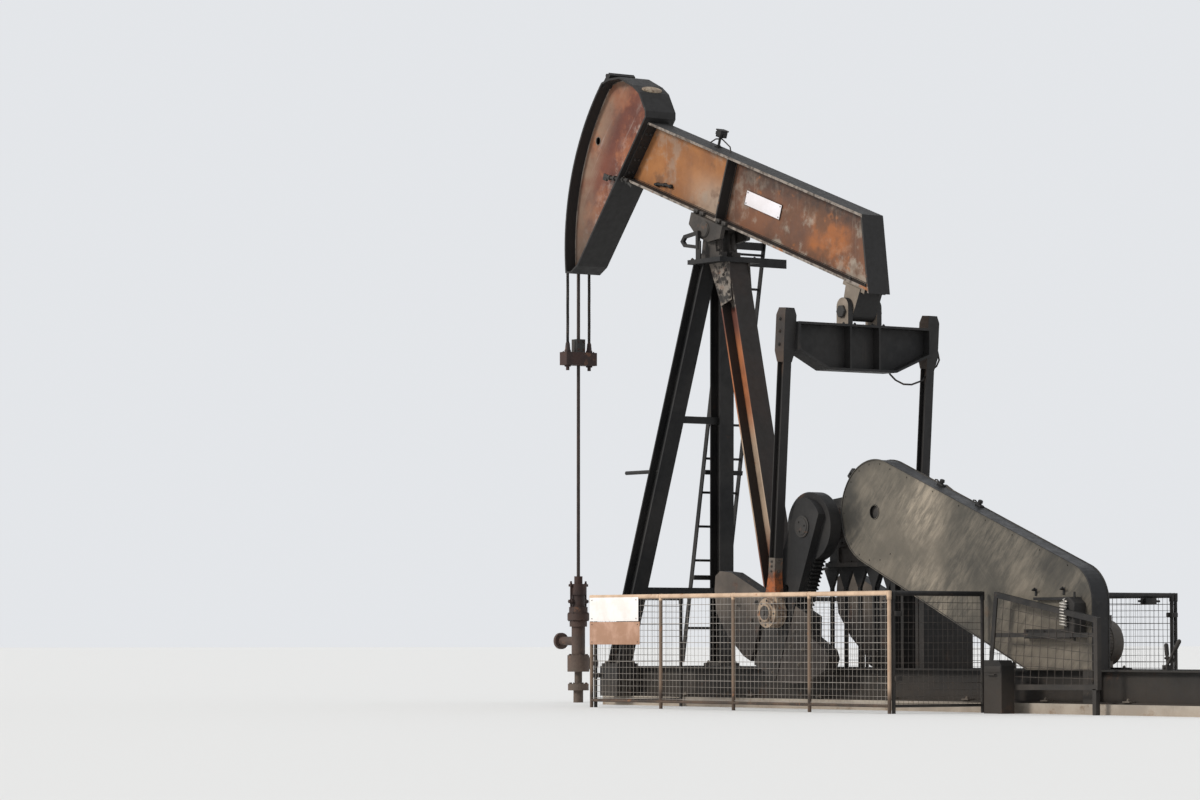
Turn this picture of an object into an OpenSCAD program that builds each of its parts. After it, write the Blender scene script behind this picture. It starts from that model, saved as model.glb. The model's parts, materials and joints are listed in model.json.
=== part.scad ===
/* [Overall geometry] */
// Height of the beam pivot above the ground
pivot_h = 4150; // [3900:10:4400]
// Radius of the front face of the horse head about the pivot
head_r = 2134; // [2050:2:2250]
// Upward tilt of the beam towards the well, in degrees
beam_tilt = 19.7; // [16:0.1:22]
// Distance of the crankshaft behind the pivot
crank_x = 2050; // [1980:5:2150]
// Height of the crankshaft above the ground
crank_z = 1500; // [1480:5:1560]
// Distance from the crankshaft to the wrist pins
crank_r = 770; // [700:5:800]
// Angle of the cranks off straight down, towards the well, in degrees
crank_angle = 23; // [15:0.5:26]

/* [Walking beam] */
// Depth of the beam over its flanges
beam_depth = 583; // [500:1:640]
// Width of the beam flanges
beam_flange_w = 230; // [200:1:260]
// Thickness of the beam flanges
beam_flange_t = 22; // [14:1:30]
// Thickness of the beam web
beam_web_t = 14; // [8:1:20]
// Height of the underside of the beam above the pivot axis
beam_seat = 92; // [80:1:120]
// Distance from the pivot to the rear end of the beam at its top
beam_rear = 1985; // [1900:5:2050]
// Extra length of the beam's underside at its slanted rear end
beam_end_slant = 300; // [200:5:320]
// Thickness of the plate on the rear end of the beam
end_plate_t = 20; // [12:1:30]
// Distance from the pivot to the tail bearing, along the beam
tail_s = 2106; // [2060:2:2150]
// Depth of the tail bearing axis below the pivot axis, across the beam
tail_drop = 142; // [130:1:150]

/* [Horse head] */
// Width of the curved track and of the back plate
head_w = 330; // [280:2:360]
// Thickness of the head's plates
head_plate_t = 18; // [12:1:24]
// Depth of the head behind its front face, at the height of the pivot
head_depth = 685; // [650:5:710]
// Lean of the head's back and of the beam's front end, in degrees
back_lean = 20.4; // [19:0.1:22]
// Distance between the outer faces of the head's two side plates
head_body_w = 110; // [90:5:130]
// Angle of the lower end of the track below the beam axis, in degrees
head_low_angle = 25.9; // [24.5:0.1:27]
// Angle of the upper end of the track above the beam axis, in degrees
head_high_angle = 23.5; // [22.5:0.1:25]
// Diameter of the hanging wire rope
wire_d = 24; // [18:1:28]
// Distance between the two runs of the wire rope
wire_gap = 240; // [200:2:260]

/* [Samson post] */
// Section size of the two front legs
front_leg_s = 150; // [130:2:160]
// Section size of the rear leg
rear_leg_s = 205; // [180:5:220]
// Thickness of the flanges and webs of the legs
leg_t = 14; // [8:1:18]
// Distance of the front feet ahead of the pivot
front_foot_x = 720; // [680:5:760]
// Distance of each front foot from the centreline
front_foot_y = 560; // [540:5:580]
// Distance of the rear foot behind the pivot
rear_foot_x = 1020; // [980:5:1060]
// Width of the ladder between its rail centres
ladder_w = 406; // [380:2:430]
// Distance from one ladder rung to the next
rung_pitch = 305; // [290:5:320]

/* [Drive] */
// Distance of each pitman from the centreline
pitman_y = 768; // [750:2:790]
// Section size of the pitmans
pitman_s = 82; // [76:2:96]
// Thickness of the crank arms
crank_t = 180; // [150:2:184]
// Thickness of the counterweights
weight_t = 120; // [100:2:150]
// Half width of the crank arms over their teeth
crank_half_w = 190; // [170:5:200]
// Pitch of the teeth along the edges of the cranks
tooth_pitch = 35; // [30:1:45]
// Distance of the drive sheave behind the crankshaft
sheave_dx = 690; // [670:5:720]
// Height of the drive sheave above the ground
sheave_z = 1605; // [1590:5:1620]
// Distance of the motor shaft behind the pivot
motor_x = 4800; // [4760:10:4840]
// Height of the motor shaft above the skid
motor_h = 205; // [200:5:230]
// Distance of the outer face of the belt guard from the centreline
guard_y = 500; // [490:2:510]
// Width of the belt guard
guard_w = 170; // [150:2:180]

/* [Base and fence] */
// Thickness of the concrete foundation
slab_t = 80; // [60:5:90]
// Depth of the skid beams
skid_d = 260; // [240:5:280]
// Distance of each skid beam from the centreline
skid_y = 400; // [380:5:420]
// Rear end of the skid behind the pivot
skid_rear = 6900; // [6700:20:7100]
// Front end of the skid ahead of the pivot
skid_front = 960; // [920:10:1000]
// Height of the guard fence
fence_h = 950; // [900:10:1050]
// Distance of the long fence panels from the centreline
fence_y = 1500; // [1450:10:1550]
// Length of the long fence panels
fence_len = 3960; // [3900:20:4100]
// Outer diameter of the fence posts and rails
fence_d = 42; // [36:1:48]

/* [Well] */
// Diameter of the polished rod
rod_d = 32; // [28:1:38]
// Height of the carrier bar above the ground
carrier_z = 3080; // [3000:10:3150]
// Height of the top of the stuffing box above the ground
gland_z = 1150; // [1130:5:1170]

/* [Hidden] */
$fn = 48;

skid_z = slab_t;
skid_top = slab_t + skid_d;
beam_top = beam_seat + beam_depth;
motor_z = skid_top + motor_h;
well_x = head_r + wire_d / 2 + 1;
pitman_clear = 8;
wrist_gap = 25;
crank_out = pitman_y - pitman_s / 2 - wrist_gap;
crank_in = crank_out - crank_t;
crank_mid = crank_in + crank_t / 2;
weight_out = pitman_y - pitman_s / 2 - pitman_clear;
seat_gap = 0.3;
leg_top_z = pivot_h - 300;
leg_top_x = -85;
leg_top_y = 92;
rear_top_x = 165;
cap_t = 40;
cap_x = leg_top_x - 90;
bearing_gap = 75;
shaft_r = 45;

// A bar whose Z axis runs from point a to point b
module between(a, b) {
    d = b - a;
    len = norm(d);
    translate(a) rotate([0, acos(d[2] / len), atan2(d[1], d[0])]) children();
}

module rod_between(a, b, r) {
    between(a, b) cylinder(h = norm(b - a), r = r);
}

// An H section in plan, its flanges across X
module h_section(w, d, t) {
    union() {
        translate([-d / 2, -w / 2]) square([t, w]);
        translate([d / 2 - t, -w / 2]) square([t, w]);
        translate([-d / 2 + t / 2, -t / 2]) square([d - t, t]);
    }
}

// Places children in the beam's own frame: X along the beam to the rear, Z square to it
module on_beam() {
    translate([0, 0, pivot_h]) rotate([0, beam_tilt, 0]) children();
}

// Extrudes an outline drawn in X and Z across the width, centred on the middle plane
module across(w) {
    rotate([90, 0, 0]) translate([0, 0, -w / 2]) linear_extrude(height = w) children();
}

// A closed outline drawn in on every side by t, or by -t where its corners run anticlockwise
module drawn_in(c, t) {
    n = len(c);
    polygon([for (i = [0 : n - 1])
        let (m = left_of(c[(i + n - 1) % n] - c[i]), k = left_of(c[i] - c[(i + 1) % n]))
        c[i] + t * (m + k) / (1 + m * k)]);
}

module foundation() {
    color("darkgray") translate([-skid_front - 60, -skid_y - 130, 0])
        cube([skid_front + skid_rear + 120, 2 * skid_y + 260, slab_t]);
}

skid_flange_w = 150;
module skid_beam(y) {
    translate([-skid_front, y, skid_z + skid_d / 2]) rotate([0, 90, 0])
        linear_extrude(height = skid_front + skid_rear) h_section(skid_flange_w, skid_d, leg_t);
}

module skid() {
    cross_w = 120;
    color("dimgray") union() {
        skid_beam(-skid_y);
        skid_beam(skid_y);
        for (x = [-front_foot_x, rear_foot_x, 1650, 3000, motor_x - 350, motor_x + 350, skid_rear - 80])
            translate([x - cross_w / 2, -skid_y, skid_z]) cube([cross_w, 2 * skid_y, skid_d]);
        for (s = [-1, 1])
            translate([-front_foot_x - 130, s * front_foot_y - 120, skid_z]) cube([260, 240, skid_d]);
    }
}

module leg(foot, top, s, t) {
    d = top - foot;
    low = foot - 0.1 * d;
    high = foot + 1.1 * d;
    intersection() {
        between(low, high) rotate([0, 0, -atan2(d[1], d[0])])
            linear_extrude(height = norm(high - low)) h_section(s, s, t);
        translate([-2000, -1000, foot[2]]) cube([4000, 2000, top[2] - foot[2]]);
    }
}

foot_plate_t = 25;
module front_leg(side) {
    foot = [-front_foot_x, side * front_foot_y, skid_top + foot_plate_t];
    color("#20201f") union() {
        leg(foot, [leg_top_x, side * leg_top_y, leg_top_z], front_leg_s, leg_t);
        translate([-front_foot_x - 120, side * front_foot_y - 110, skid_top]) cube([240, 220, foot_plate_t]);
        if (side < 0)
            translate(leg_point(-1, 2045)) rotate([0, -90, 0]) cylinder(h = 518, r = 17);
    }
}

module front_leg_near() {
    front_leg(-1);
}

module front_leg_far() {
    front_leg(1);
}

module rear_leg() {
    color("#6b3f2a") union() {
        leg([rear_foot_x, 0, skid_top + foot_plate_t], [rear_top_x, 0, leg_top_z], rear_leg_s, leg_t + 2);
        translate([rear_foot_x - 150, -150, skid_top]) cube([300, 300, foot_plate_t]);
        for (s = [-1, 1])
            translate([0, s * (rear_leg_s / 2 + 4), 0]) across(14)
                polygon([[-2, leg_top_z], [rear_top_x + 125, leg_top_z], [rear_top_x + 160, leg_top_z - 330],
                    [rear_top_x + 10, leg_top_z - 380]]);
    }
}

module post_cap() {
    step_y = 840;
    color("#20201f") union() {
        translate([cap_x, -220, leg_top_z]) cube([rear_top_x - cap_x + 130, 440, cap_t]);
        translate([cap_x + 40, 200, leg_top_z + 16]) cube([12, step_y - 200, 80]);
    }
}

// Point on the centre of a front leg at height z
function leg_point(side, z) =
    let (f = (z - skid_top - foot_plate_t) / (leg_top_z - skid_top - foot_plate_t))
    [-front_foot_x + f * (leg_top_x + front_foot_x),
     side * (front_foot_y + f * (leg_top_y - front_foot_y)), z];

// Places a plan drawing along a front leg, so that it follows the leg's section
module along_leg(side) {
    foot = leg_point(side, 0);
    d = leg_point(side, pivot_h) - foot;
    between(foot, foot + d) rotate([0, 0, -atan2(d[1], d[0])]) linear_extrude(height = norm(d)) children();
}

module post_braces() {
    brace = 60;
    web = leg_t / 2 + seat_gap;
    color("#20201f") for (z = [1000, 2500]) {
        p = leg_point(1, z);
        difference() {
            translate([p[0] - brace / 2, -p[1], z - brace / 2]) cube([brace, 2 * p[1], brace]);
            for (s = [-1, 1])
                along_leg(s) translate([-200, s > 0 ? -web : -200 + web]) square([400, 200]);
        }
    }
}

ladder_y = 215;
module ladder() {
    rise = leg_top_z - skid_top - foot_plate_t;
    lean = atan2(front_foot_x + leg_top_x, rise);
    rail_w = 45;
    rail_t = 12;
    bar_h = 40;
    off = front_leg_s / 2 + rail_w;
    x0 = -front_foot_x - off;
    len = (rise + 235) / cos(lean);
    color("#1c1c1c") union() {
        translate([x0, ladder_y, skid_top + foot_plate_t + 10]) rotate([0, lean, 0]) {
            for (y = [0, ladder_w])
                translate([-rail_w / 2, y - rail_t / 2, 0]) cube([rail_w, rail_t, len]);
            for (i = [1 : floor((len - 60) / rung_pitch)])
                translate([0, 0, i * rung_pitch]) rotate([-90, 0, 0]) cylinder(h = ladder_w, r = 11);
            translate([-4, 0, len - 80]) cube([8, ladder_w, 70]);
        }
        difference() {
            translate([x0, ladder_y, skid_top + foot_plate_t]) rotate([0, lean, 0])
                for (f = [0.2, 0.45, 0.68])
                    translate([rail_w / 2 - 1, -rail_t / 2, f * len]) cube([off, ladder_w + rail_t, bar_h]);
            along_leg(1) translate([-front_leg_s / 2 - seat_gap, -1000]) square([2000, 2000]);
        }
    }
}

bearing_w = 84;
bearing_r = 80;
module bearing_blocks() {
    base_z = leg_top_z + cap_t;
    low = bearing_r + 30;
    color("#2a2826") for (s = [-1, 1]) translate([0, s * bearing_gap, 0]) across(bearing_w) difference() {
        union() {
            translate([-150, base_z]) square([300, 60]);
            polygon([[-low, base_z + 30], [low, base_z + 30], [bearing_r - 10, pivot_h + 10],
                [10 - bearing_r, pivot_h + 10]]);
            translate([0, pivot_h]) circle(r = bearing_r);
        }
        translate([0, pivot_h]) circle(r = shaft_r + 0.05);
    }
}

module hand_ring() {
    bar = 30;
    y = -cheek_out - 38;
    base_z = leg_top_z + cap_t;
    c = [[-30, pivot_h - 10], [-236, pivot_h - 34], [-284, pivot_h - 88], [-236, pivot_h - 140],
        [-30, pivot_h - 172]];
    color("#1c1c1c") union() {
        translate([0, y, 0]) across(bar) difference() {
            polygon(c);
            drawn_in(c, -bar);
        }
        translate([-70, y - 6, base_z]) cube([66, 12, pivot_h - 100 - base_z]);
    }
}

box_half = 290;
module gearbox() {
    split_t = 36;
    low = crank_z - 328;
    rear = sheave_dx + 330;
    color("#262523") difference() {
        union() {
            across(2 * box_half - 40) translate([crank_x, 0]) polygon([[-180, low], [rear, low],
                [rear, sheave_z + 60], [sheave_dx, sheave_z + 240], [80, crank_z + 260], [-200, crank_z + 230],
                [-330, crank_z + 100], [-330, crank_z - 20], [-180, crank_z - 140]]);
            across(2 * box_half) translate([crank_x - 370, crank_z - split_t / 2]) square([rear + 420, split_t]);
            across(2 * box_half) translate([crank_x - 215, low]) square([rear + 265, split_t]);
            for (x = [-60, 300, 640, 940])
                across(2 * box_half - 6) translate([crank_x + x, low]) square([18, crank_z - low]);
            translate([crank_x, 0, crank_z]) rotate([90, 0, 0])
                cylinder(h = 2 * box_half + 60, r = 170, center = true);
            translate([crank_x + sheave_dx, 0, sheave_z]) rotate([90, 0, 0])
                cylinder(h = 2 * box_half, r = 110, center = true);
        }
        translate([crank_x, 0, crank_z]) rotate([90, 0, 0])
            cylinder(h = 2 * box_half + 100, r = crank_shaft_r + 0.05, center = true);
    }
}

crank_shaft_r = 90;
module gearbox_stand() {
    top = crank_z - 328;
    plate_t = 24;
    rear = sheave_dx + 350;
    pitch = 184;
    gusset_d = 150;
    half = box_half - 30;
    color("#262523") union() {
        translate([crank_x - 285, -half, top - plate_t]) cube([rear + 285, 2 * half, plate_t]);
        for (s = [-1, 1], i = [0 : 6])
            translate([crank_x - pitch + i * pitch, s * (half - 20), 0]) across(24)
                polygon([[-pitch / 2, top - plate_t], [pitch / 2, top - plate_t], [16, top - plate_t - gusset_d],
                    [16, skid_top], [-16, skid_top], [-16, top - plate_t - gusset_d]]);
        for (x = [crank_x + sheave_dx - 90, crank_x + rear - 80])
            translate([x, -half, skid_top]) cube([60, 2 * half, top - plate_t - skid_top]);
    }
}

guard_r = 425;
module sheave() {
    w = guard_w - 50;
    color("#2c2c2c") union() {
        translate([crank_x + sheave_dx, -guard_y + guard_w / 2, sheave_z]) rotate([90, 0, 0])
            cylinder(h = w, r = guard_r - 40, center = true);
        translate([crank_x + sheave_dx, -box_half, sheave_z]) rotate([90, 0, 0])
            cylinder(h = guard_y - guard_w / 2 - box_half, r = 50);
    }
}

// Rear end of the belt guard and the radius of its upper corner
guard_end = motor_x + 548;
guard_end_r = 310;

// Outline of the belt guard in X and Z, drawn in by a given amount
module guard_outline(inset) {
    hull() {
        translate([crank_x + sheave_dx, sheave_z]) circle(r = guard_r - inset);
        translate([guard_end - guard_end_r, motor_z + 305]) circle(r = guard_end_r - inset);
        translate([motor_x - 200, skid_top + inset]) square([guard_end - motor_x + 200 - inset, 10]);
    }
}

module belt_guard() {
    skin = 6;
    hub_hole_r = 55;
    color("#8d8b80") difference() {
        translate([0, -guard_y + guard_w / 2, 0]) across(guard_w) guard_outline(0);
        translate([0, -guard_y + guard_w / 2 + skin, 0]) across(guard_w) guard_outline(skin);
        translate([crank_x + sheave_dx, -guard_y + 2 * skin, sheave_z]) rotate([90, 0, 0])
            cylinder(h = 3 * skin, r = hub_hole_r);
    }
    color("#8d8b80") translate([guard_end - 110, -guard_y, slab_t]) cube([110, 20, skid_d + 10]);
}

motor_r = 180;
motor_foot_z = motor_z - motor_r - 10;
module motor() {
    near = -guard_y + guard_w + 40;
    len = 376;
    bell = 30;
    color("#3a3a38") union() {
        translate([motor_x, near + bell, motor_z]) rotate([-90, 0, 0]) cylinder(h = len - 2 * bell, r = motor_r);
        translate([motor_x, near, motor_z]) rotate([-90, 0, 0]) cylinder(h = len, r = motor_r - 18);
        translate([motor_x, near + 20, motor_z]) rotate([90, 0, 0]) cylinder(h = 170, r = 24);
        translate([motor_x, -guard_y + guard_w - 20, motor_z]) rotate([90, 0, 0]) cylinder(h = 110, r = 90);
        translate([motor_x - 170, near + 30, motor_foot_z]) cube([340, len - 60, 50]);
        translate([motor_x, near + len - 210, motor_z + 140]) cube([170, 170, 75]);
    }
}

module motor_base() {
    near = -guard_y + guard_w + 40;
    color("#2c2a28") for (y = [near + 20, near + 270])
        translate([motor_x - 330, y, skid_top]) cube([700, 90, motor_foot_z - skid_top]);
}

box_out = guard_y + seat_gap + 110;
panel_y = -box_out - seat_gap - fence_d / 2;

// A control box on the outer face of the belt guard, with its two conduit bars
module switch_box() {
    face = -guard_y - seat_gap;
    box_x = motor_x + 350;
    box_l = 125;
    color("#1c1c1c") union() {
        translate([box_x, 0, 0]) rotate([90, 0, 0]) translate([0, 0, -face]) linear_extrude(height = box_out + face)
            polygon([[0, skid_top + 260], [box_l, skid_top + 260], [box_l, skid_top + 508],
                [box_l / 2, skid_top + 555], [0, skid_top + 555]]);
        translate([box_x - 530, face - 50, skid_top + 238]) cube([535, 50, 72]);
        translate([box_x - 430, face - 40, skid_top + 533]) cube([435, 20, 22]);
        for (x = [-425, -60])
            translate([box_x + x, face - 30, skid_top + 533]) cube([20, 30, 22]);
    }
}

// A low box that stands on the ground beside the skid
module cable_box() {
    color("#161616") translate([motor_x - 383, panel_y - fence_d / 2 - seat_gap, 0]) rotate([90, 0, 0])
        linear_extrude(height = 130) polygon([[0, 0], [205, 0], [205, 370], [170, 412], [0, 412]]);
}

module brake_levers() {
    // One lever leans back towards the end of the skid, the other stands
    for (lever = [[6075, -25, 150, 225], [6045, 25, -20, 200]])
        color("#222222") translate([lever[0], lever[1] - skid_y, skid_top]) union() {
            translate([-25, -15, 0]) cube([50, 30, 40]);
            rod_between([0, 0, 20], [lever[2], 0, lever[3]], 12);
        }
}

// One fence panel in its own frame: X along it, Z up, posts at its ends and between
module fence_panel(len, bays, h) {
    r = fence_d / 2;
    union() {
        for (i = [0 : bays])
            translate([i * len / bays, 0, 0]) cylinder(h = h - r, r = r, $fn = 24);
        for (z = [60, h - r])
            translate([0, 0, z]) rotate([0, 90, 0]) cylinder(h = len, r = r, $fn = 24);
        translate([0, -1.5, 60]) cube([len, 3, h - r - 60]);
    }
}

fence_x0 = 2160 - fence_len / 2;
module fence_near() {
    color("#b48b62") translate([fence_x0, -fence_y, 0]) fence_panel(fence_len, 4, fence_h);
}

module fence_far() {
    color("#3b352f") translate([fence_x0, fence_y, 0]) fence_panel(fence_len, 4, fence_h);
}

return_len = fence_y - guard_y - 60;
module fence_returns() {
    color("#2a2624") for (s = [-1, 1], x = [fence_x0, fence_x0 + fence_len])
        translate([x, s * (fence_y - fence_d / 2 - seat_gap), 0]) rotate([0, 0, -s * 90]) translate([fence_d / 2, 0, 0])
            fence_panel(return_len - fence_d, 1, fence_h);
    bar_w = 60;
    edge = skid_y + skid_flange_w / 2 + seat_gap;
    post = fence_y - seat_gap - return_len;
    color("#2a2624") for (s = [-1, 1], x = [fence_x0, fence_x0 + fence_len])
        translate([x - bar_w / 2, s > 0 ? edge : -post, skid_top - leg_t]) cube([bar_w, post - edge, leg_t]);
}

module leaning_panel() {
    c = [[motor_x - 410, fence_h - 10], [motor_x + 770, fence_h - 215], [motor_x + 770, 190],
        [motor_x - 500, 180]];
    color("#2a2624") union() {
        translate([0, panel_y, 0]) across(fence_d) difference() {
            polygon(c);
            drawn_in(c, fence_d);
        }
        translate([0, panel_y, 0]) across(3) polygon(c);
        translate([c[2][0] - 60, panel_y - fence_d / 2, 0]) cube([fence_d, fence_d, 210]);
        translate([c[3][0] + 18, panel_y - fence_d / 2, 0]) cube([fence_d, fence_d, 200]);
    }
}

module sign_boards() {
    y = -fence_y - fence_d / 2 - 4;
    color("#c9c4bc") translate([fence_x0, y, fence_h - 225]) cube([700, 4, 200]);
    color("#8a6a4a") translate([fence_x0, y, fence_h - 420]) cube([720, 4, 190]);
}

module wellhead() {
    color("#3a2a26") translate([-well_x, 0, 0]) difference() {
        union() {
            cylinder(h = 110, r = 45);
            translate([0, 0, 110]) cylinder(h = 60, r = 95);
            translate([0, 0, 170]) cylinder(h = 110, r = 35);
            translate([0, 0, 280]) cylinder(h = 150, r = 100);
            translate([0, 0, 430]) cylinder(h = 260, r = 62);
            translate([0, 0, 690]) cylinder(h = 60, r = 80);
            translate([0, 0, 750]) cylinder(h = 60, r = 100);
            translate([0, 0, 560]) rotate([0, -90, 0]) cylinder(h = 260, r = 40);
            translate([-260, 0, 560]) rotate([0, -90, 0]) cylinder(h = 30, r = 75);
        }
        translate([0, 0, -1]) cylinder(h = 900, r = rod_d / 2 + 3);
        translate([-100, 0, 560]) rotate([0, -90, 0]) cylinder(h = 200, r = 25);
        for (a = [45 : 90 : 315])
            translate([-200, 55 * cos(a), 560 + 55 * sin(a)]) rotate([0, -90, 0]) cylinder(h = 100, r = 8);
    }
}

module stuffing_box() {
    color("#2a2422") translate([-well_x, 0, 810]) difference() {
        union() {
            cylinder(h = 60, r = 85);
            translate([0, 0, 60]) cylinder(h = 110, r = 60);
            translate([0, 0, 170]) cylinder(h = 100, r = 75);
            translate([0, 0, 270]) cylinder(h = gland_z - 1080, r = 38);
        }
        translate([0, 0, -1]) cylinder(h = 400, r = rod_d / 2 + seat_gap);
    }
}

// Back of the head at a height t above the pivot axis
function head_back(t) = -(head_r - head_depth) + t * tan(back_lean);

// Front end of the beam at a height t above the pivot axis, against the back of the head
function beam_front(t) = head_back(t) + seat_gap;

// Rear end of the beam at a height t above the pivot axis
function beam_end(t) = beam_rear + beam_end_slant * (beam_top - t) / beam_depth;

// Side view of the beam between two heights above the pivot axis
module beam_side(low, high) {
    polygon([[beam_front(low), low], [beam_end(low), low], [beam_end(high), high], [beam_front(high), high]]);
}

module walking_beam() {
    plate_t = 16;
    tail = beam_end(beam_seat) + 8;
    color("#4a2e20") on_beam() union() {
        across(beam_flange_w) beam_side(beam_seat, beam_seat + beam_flange_t);
        across(beam_flange_w) beam_side(beam_top - beam_flange_t, beam_top);
        across(beam_web_t) beam_side(beam_seat, beam_top);
        across(beam_flange_w) polygon([[beam_front(beam_seat), beam_seat],
            [beam_front(beam_seat) + plate_t, beam_seat], [beam_front(beam_top) + plate_t, beam_top],
            [beam_front(beam_top), beam_top]]);
        translate([45, -beam_flange_w / 2, beam_seat]) cube([plate_t, beam_flange_w, beam_depth]);
        translate([290, -beam_web_t / 2 - 8, beam_seat + 220]) cube([520, 10, 130]);
        across(beam_flange_w) polygon([[beam_rear, beam_top], [beam_rear + end_plate_t, beam_top],
            [tail + end_plate_t, beam_seat - 16], [tail, beam_seat - 16]]);
    }
}

// Point at a distance r from the pivot, at an angle a above the beam axis, towards the well
function head_point(r, a) = r * [-cos(a), sin(a)];

// Corners of the head behind the track, from the bottom round to the top, its end lines run on past the track
function head_corners() =
    let (low = head_point(head_r, -head_low_angle),
         toe = head_point(head_r - 80, -head_low_angle - 0.5),
         heel = [head_back(-0.382 * head_r), -0.382 * head_r],
         knee = [head_back(beam_top + 45), beam_top + 45],
         tip = knee + [-679, 192],
         high = head_point(head_r, head_high_angle))
    [low + 2 * (low - toe), toe, heel, knee, knee + [-19, 58], knee + [-174, 192], knee + [-289, 227],
     knee + [-519, 248], tip, high + 4 * (high - tip)];

// Unit vector square to v, to its left
function left_of(v) = [-v[1], v[0]] / norm(v);

// Corners of an open outline, all moved to its left by t
function moved_left(c, t) = [for (i = [0 : len(c) - 1])
    let (m = left_of(i == 0 ? c[1] - c[0] : c[i] - c[i - 1]),
         n = left_of(i == len(c) - 1 ? c[i] - c[i - 1] : c[i + 1] - c[i]))
    c[i] + t * (m + n) / (1 + m * n)];

module head_shape(inset) {
    intersection() {
        polygon(moved_left(head_corners(), inset));
        circle(r = head_r - inset, $fn = 96);
    }
}

module horse_head() {
    t = head_plate_t;
    side_t = 16;
    hole_r = 36;
    lip_angle = head_high_angle + 3.2;
    color("#5a3524") on_beam() union() {
        for (s = [-1, 1])
            translate([0, s * (head_body_w - side_t) / 2, 0]) across(side_t) difference() {
                head_shape(t / 2);
                translate(head_point(head_r - 136, 8.9)) circle(r = hole_r);
            }
        across(head_w) difference() {
            head_shape(0);
            head_shape(t);
        }
        across(wire_gap + 40) polygon([head_point(head_r - 0.5, head_high_angle - 1),
            head_point(head_r - 0.5, lip_angle), head_point(head_r - 34, lip_angle),
            head_point(head_r - 34, head_high_angle - 1)]);
    }
}

cheek_out = 165;
module center_saddle() {
    cheek_t = 40;
    bolt_plate_t = 30;
    color("#3c3a36") union() {
        on_beam() for (s = [-1, 1])
            translate([0, s * (cheek_out - cheek_t / 2), 0]) across(cheek_t)
                polygon([[-240, beam_seat], [-240, -15], [-83, -90], [83, -90], [240, -15], [240, beam_seat]]);
        on_beam() for (s = [-1, 1])
            translate([s * 170 - 70, -cheek_out, beam_seat - bolt_plate_t])
                cube([140, 2 * cheek_out, bolt_plate_t]);
        translate([0, 0, pivot_h]) rotate([90, 0, 0])
            cylinder(h = 2 * cheek_out + 24, r = shaft_r, center = true);
    }
}

tail_x = tail_s * cos(beam_tilt) - tail_drop * sin(beam_tilt);
tail_z = pivot_h - tail_s * sin(beam_tilt) - tail_drop * cos(beam_tilt);
tail_pin_r = 40;
lug_in = 130;
lug_t = 50;
module tail_hanger() {
    block = 2 * lug_in - 12;
    plate_t = 36;
    nose_r = 78;
    color("#6d685e") union() {
        on_beam() translate([tail_s - 150, -115, beam_seat - plate_t]) cube([300, 230, plate_t]);
        on_beam() across(block) union() {
            polygon([[tail_s - 100, beam_seat - 10], [tail_s - nose_r, -tail_drop],
                [tail_s + nose_r, -tail_drop], [tail_s + 100, beam_seat - 10]]);
            translate([tail_s, -tail_drop]) circle(r = nose_r);
        }
        translate([tail_x, 0, tail_z]) rotate([90, 0, 0])
            cylinder(h = 2 * (lug_in + lug_t) + 24, r = tail_pin_r, center = true);
    }
}

module sensor_box() {
    color("#3a3a3a") on_beam() union() {
        translate([-330, 20, beam_top]) cube([20, 60, 90]);
        translate([-380, 0, beam_top + 90]) cube([120, 100, 70]);
    }
}

module track_wires() {
    top_a = head_high_angle + 2;
    r = head_r + wire_d / 2 + 0.5;
    color("#2b2b2b") on_beam() union() {
        for (s = [-1, 1]) translate([0, s * wire_gap / 2, 0]) rotate([90, 0, 0])
            rotate([0, 0, 180 - top_a]) rotate_extrude(angle = top_a + beam_tilt, $fn = 96)
                translate([r, 0]) circle(r = wire_d / 2, $fn = 16);
        translate([-r * cos(top_a), 0, r * sin(top_a)]) rotate([90, 0, 0])
            cylinder(h = wire_gap + wire_d, r = wire_d / 2, center = true, $fn = 16);
    }
}

eq_top = tail_z - 110;
cap_half = 60;
eq_w = 180;
module equalizer_beam() {
    half = pitman_y - cap_half - seat_gap;
    flange_t = 20;
    ends = [[-half, eq_top - 235], [-half, eq_top], [half, eq_top], [half, eq_top - 235],
        [0.47 * half, eq_top - 390], [-0.55 * half, eq_top - 390]];
    color("#20211f") translate([tail_x, 0, 0]) rotate([90, 0, 90]) union() {
        linear_extrude(height = eq_w, center = true) difference() {
            polygon(ends);
            drawn_in(ends, flange_t);
        }
        linear_extrude(height = 16, center = true) polygon(ends);
        linear_extrude(height = eq_w, center = true) for (y = [-160, 150])
            translate([y - 8, eq_top - 380]) square([16, 370]);
    }
}

module equalizer_bearing() {
    half = 77;
    color("#6d685e") for (s = [-1, 1])
        translate([tail_x, s * (lug_in + lug_t / 2), 0]) across(lug_t) difference() {
            union() {
                translate([-half, eq_top]) square([2 * half, tail_z - eq_top + 40]);
                translate([0, tail_z + 40]) circle(r = half);
            }
            translate([0, tail_z]) circle(r = tail_pin_r + 0.05);
        }
}

wrist_x = crank_x - crank_r * sin(crank_angle);
wrist_z = crank_z - crank_r * cos(crank_angle);
// Lean of the pitmans off upright, in degrees
function pitman_lean() = atan2(tail_x - wrist_x, tail_z - wrist_z);

// Places children at a wrist pin, Z running up along the pitman
module on_pitman(side) {
    translate([wrist_x, side * pitman_y, wrist_z]) rotate([0, pitman_lean(), 0]) children();
}

// Side view of the block on top of a pitman, with the equalizer's top at height h
module cap_profile(h) {
    polygon([[-44, h - 335], [-cap_half, h - 245], [-cap_half, h + 55], [-45, h + 115], [45, h + 115],
        [cap_half, h + 55], [cap_half, h - 245], [44, h - 335]]);
}

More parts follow.
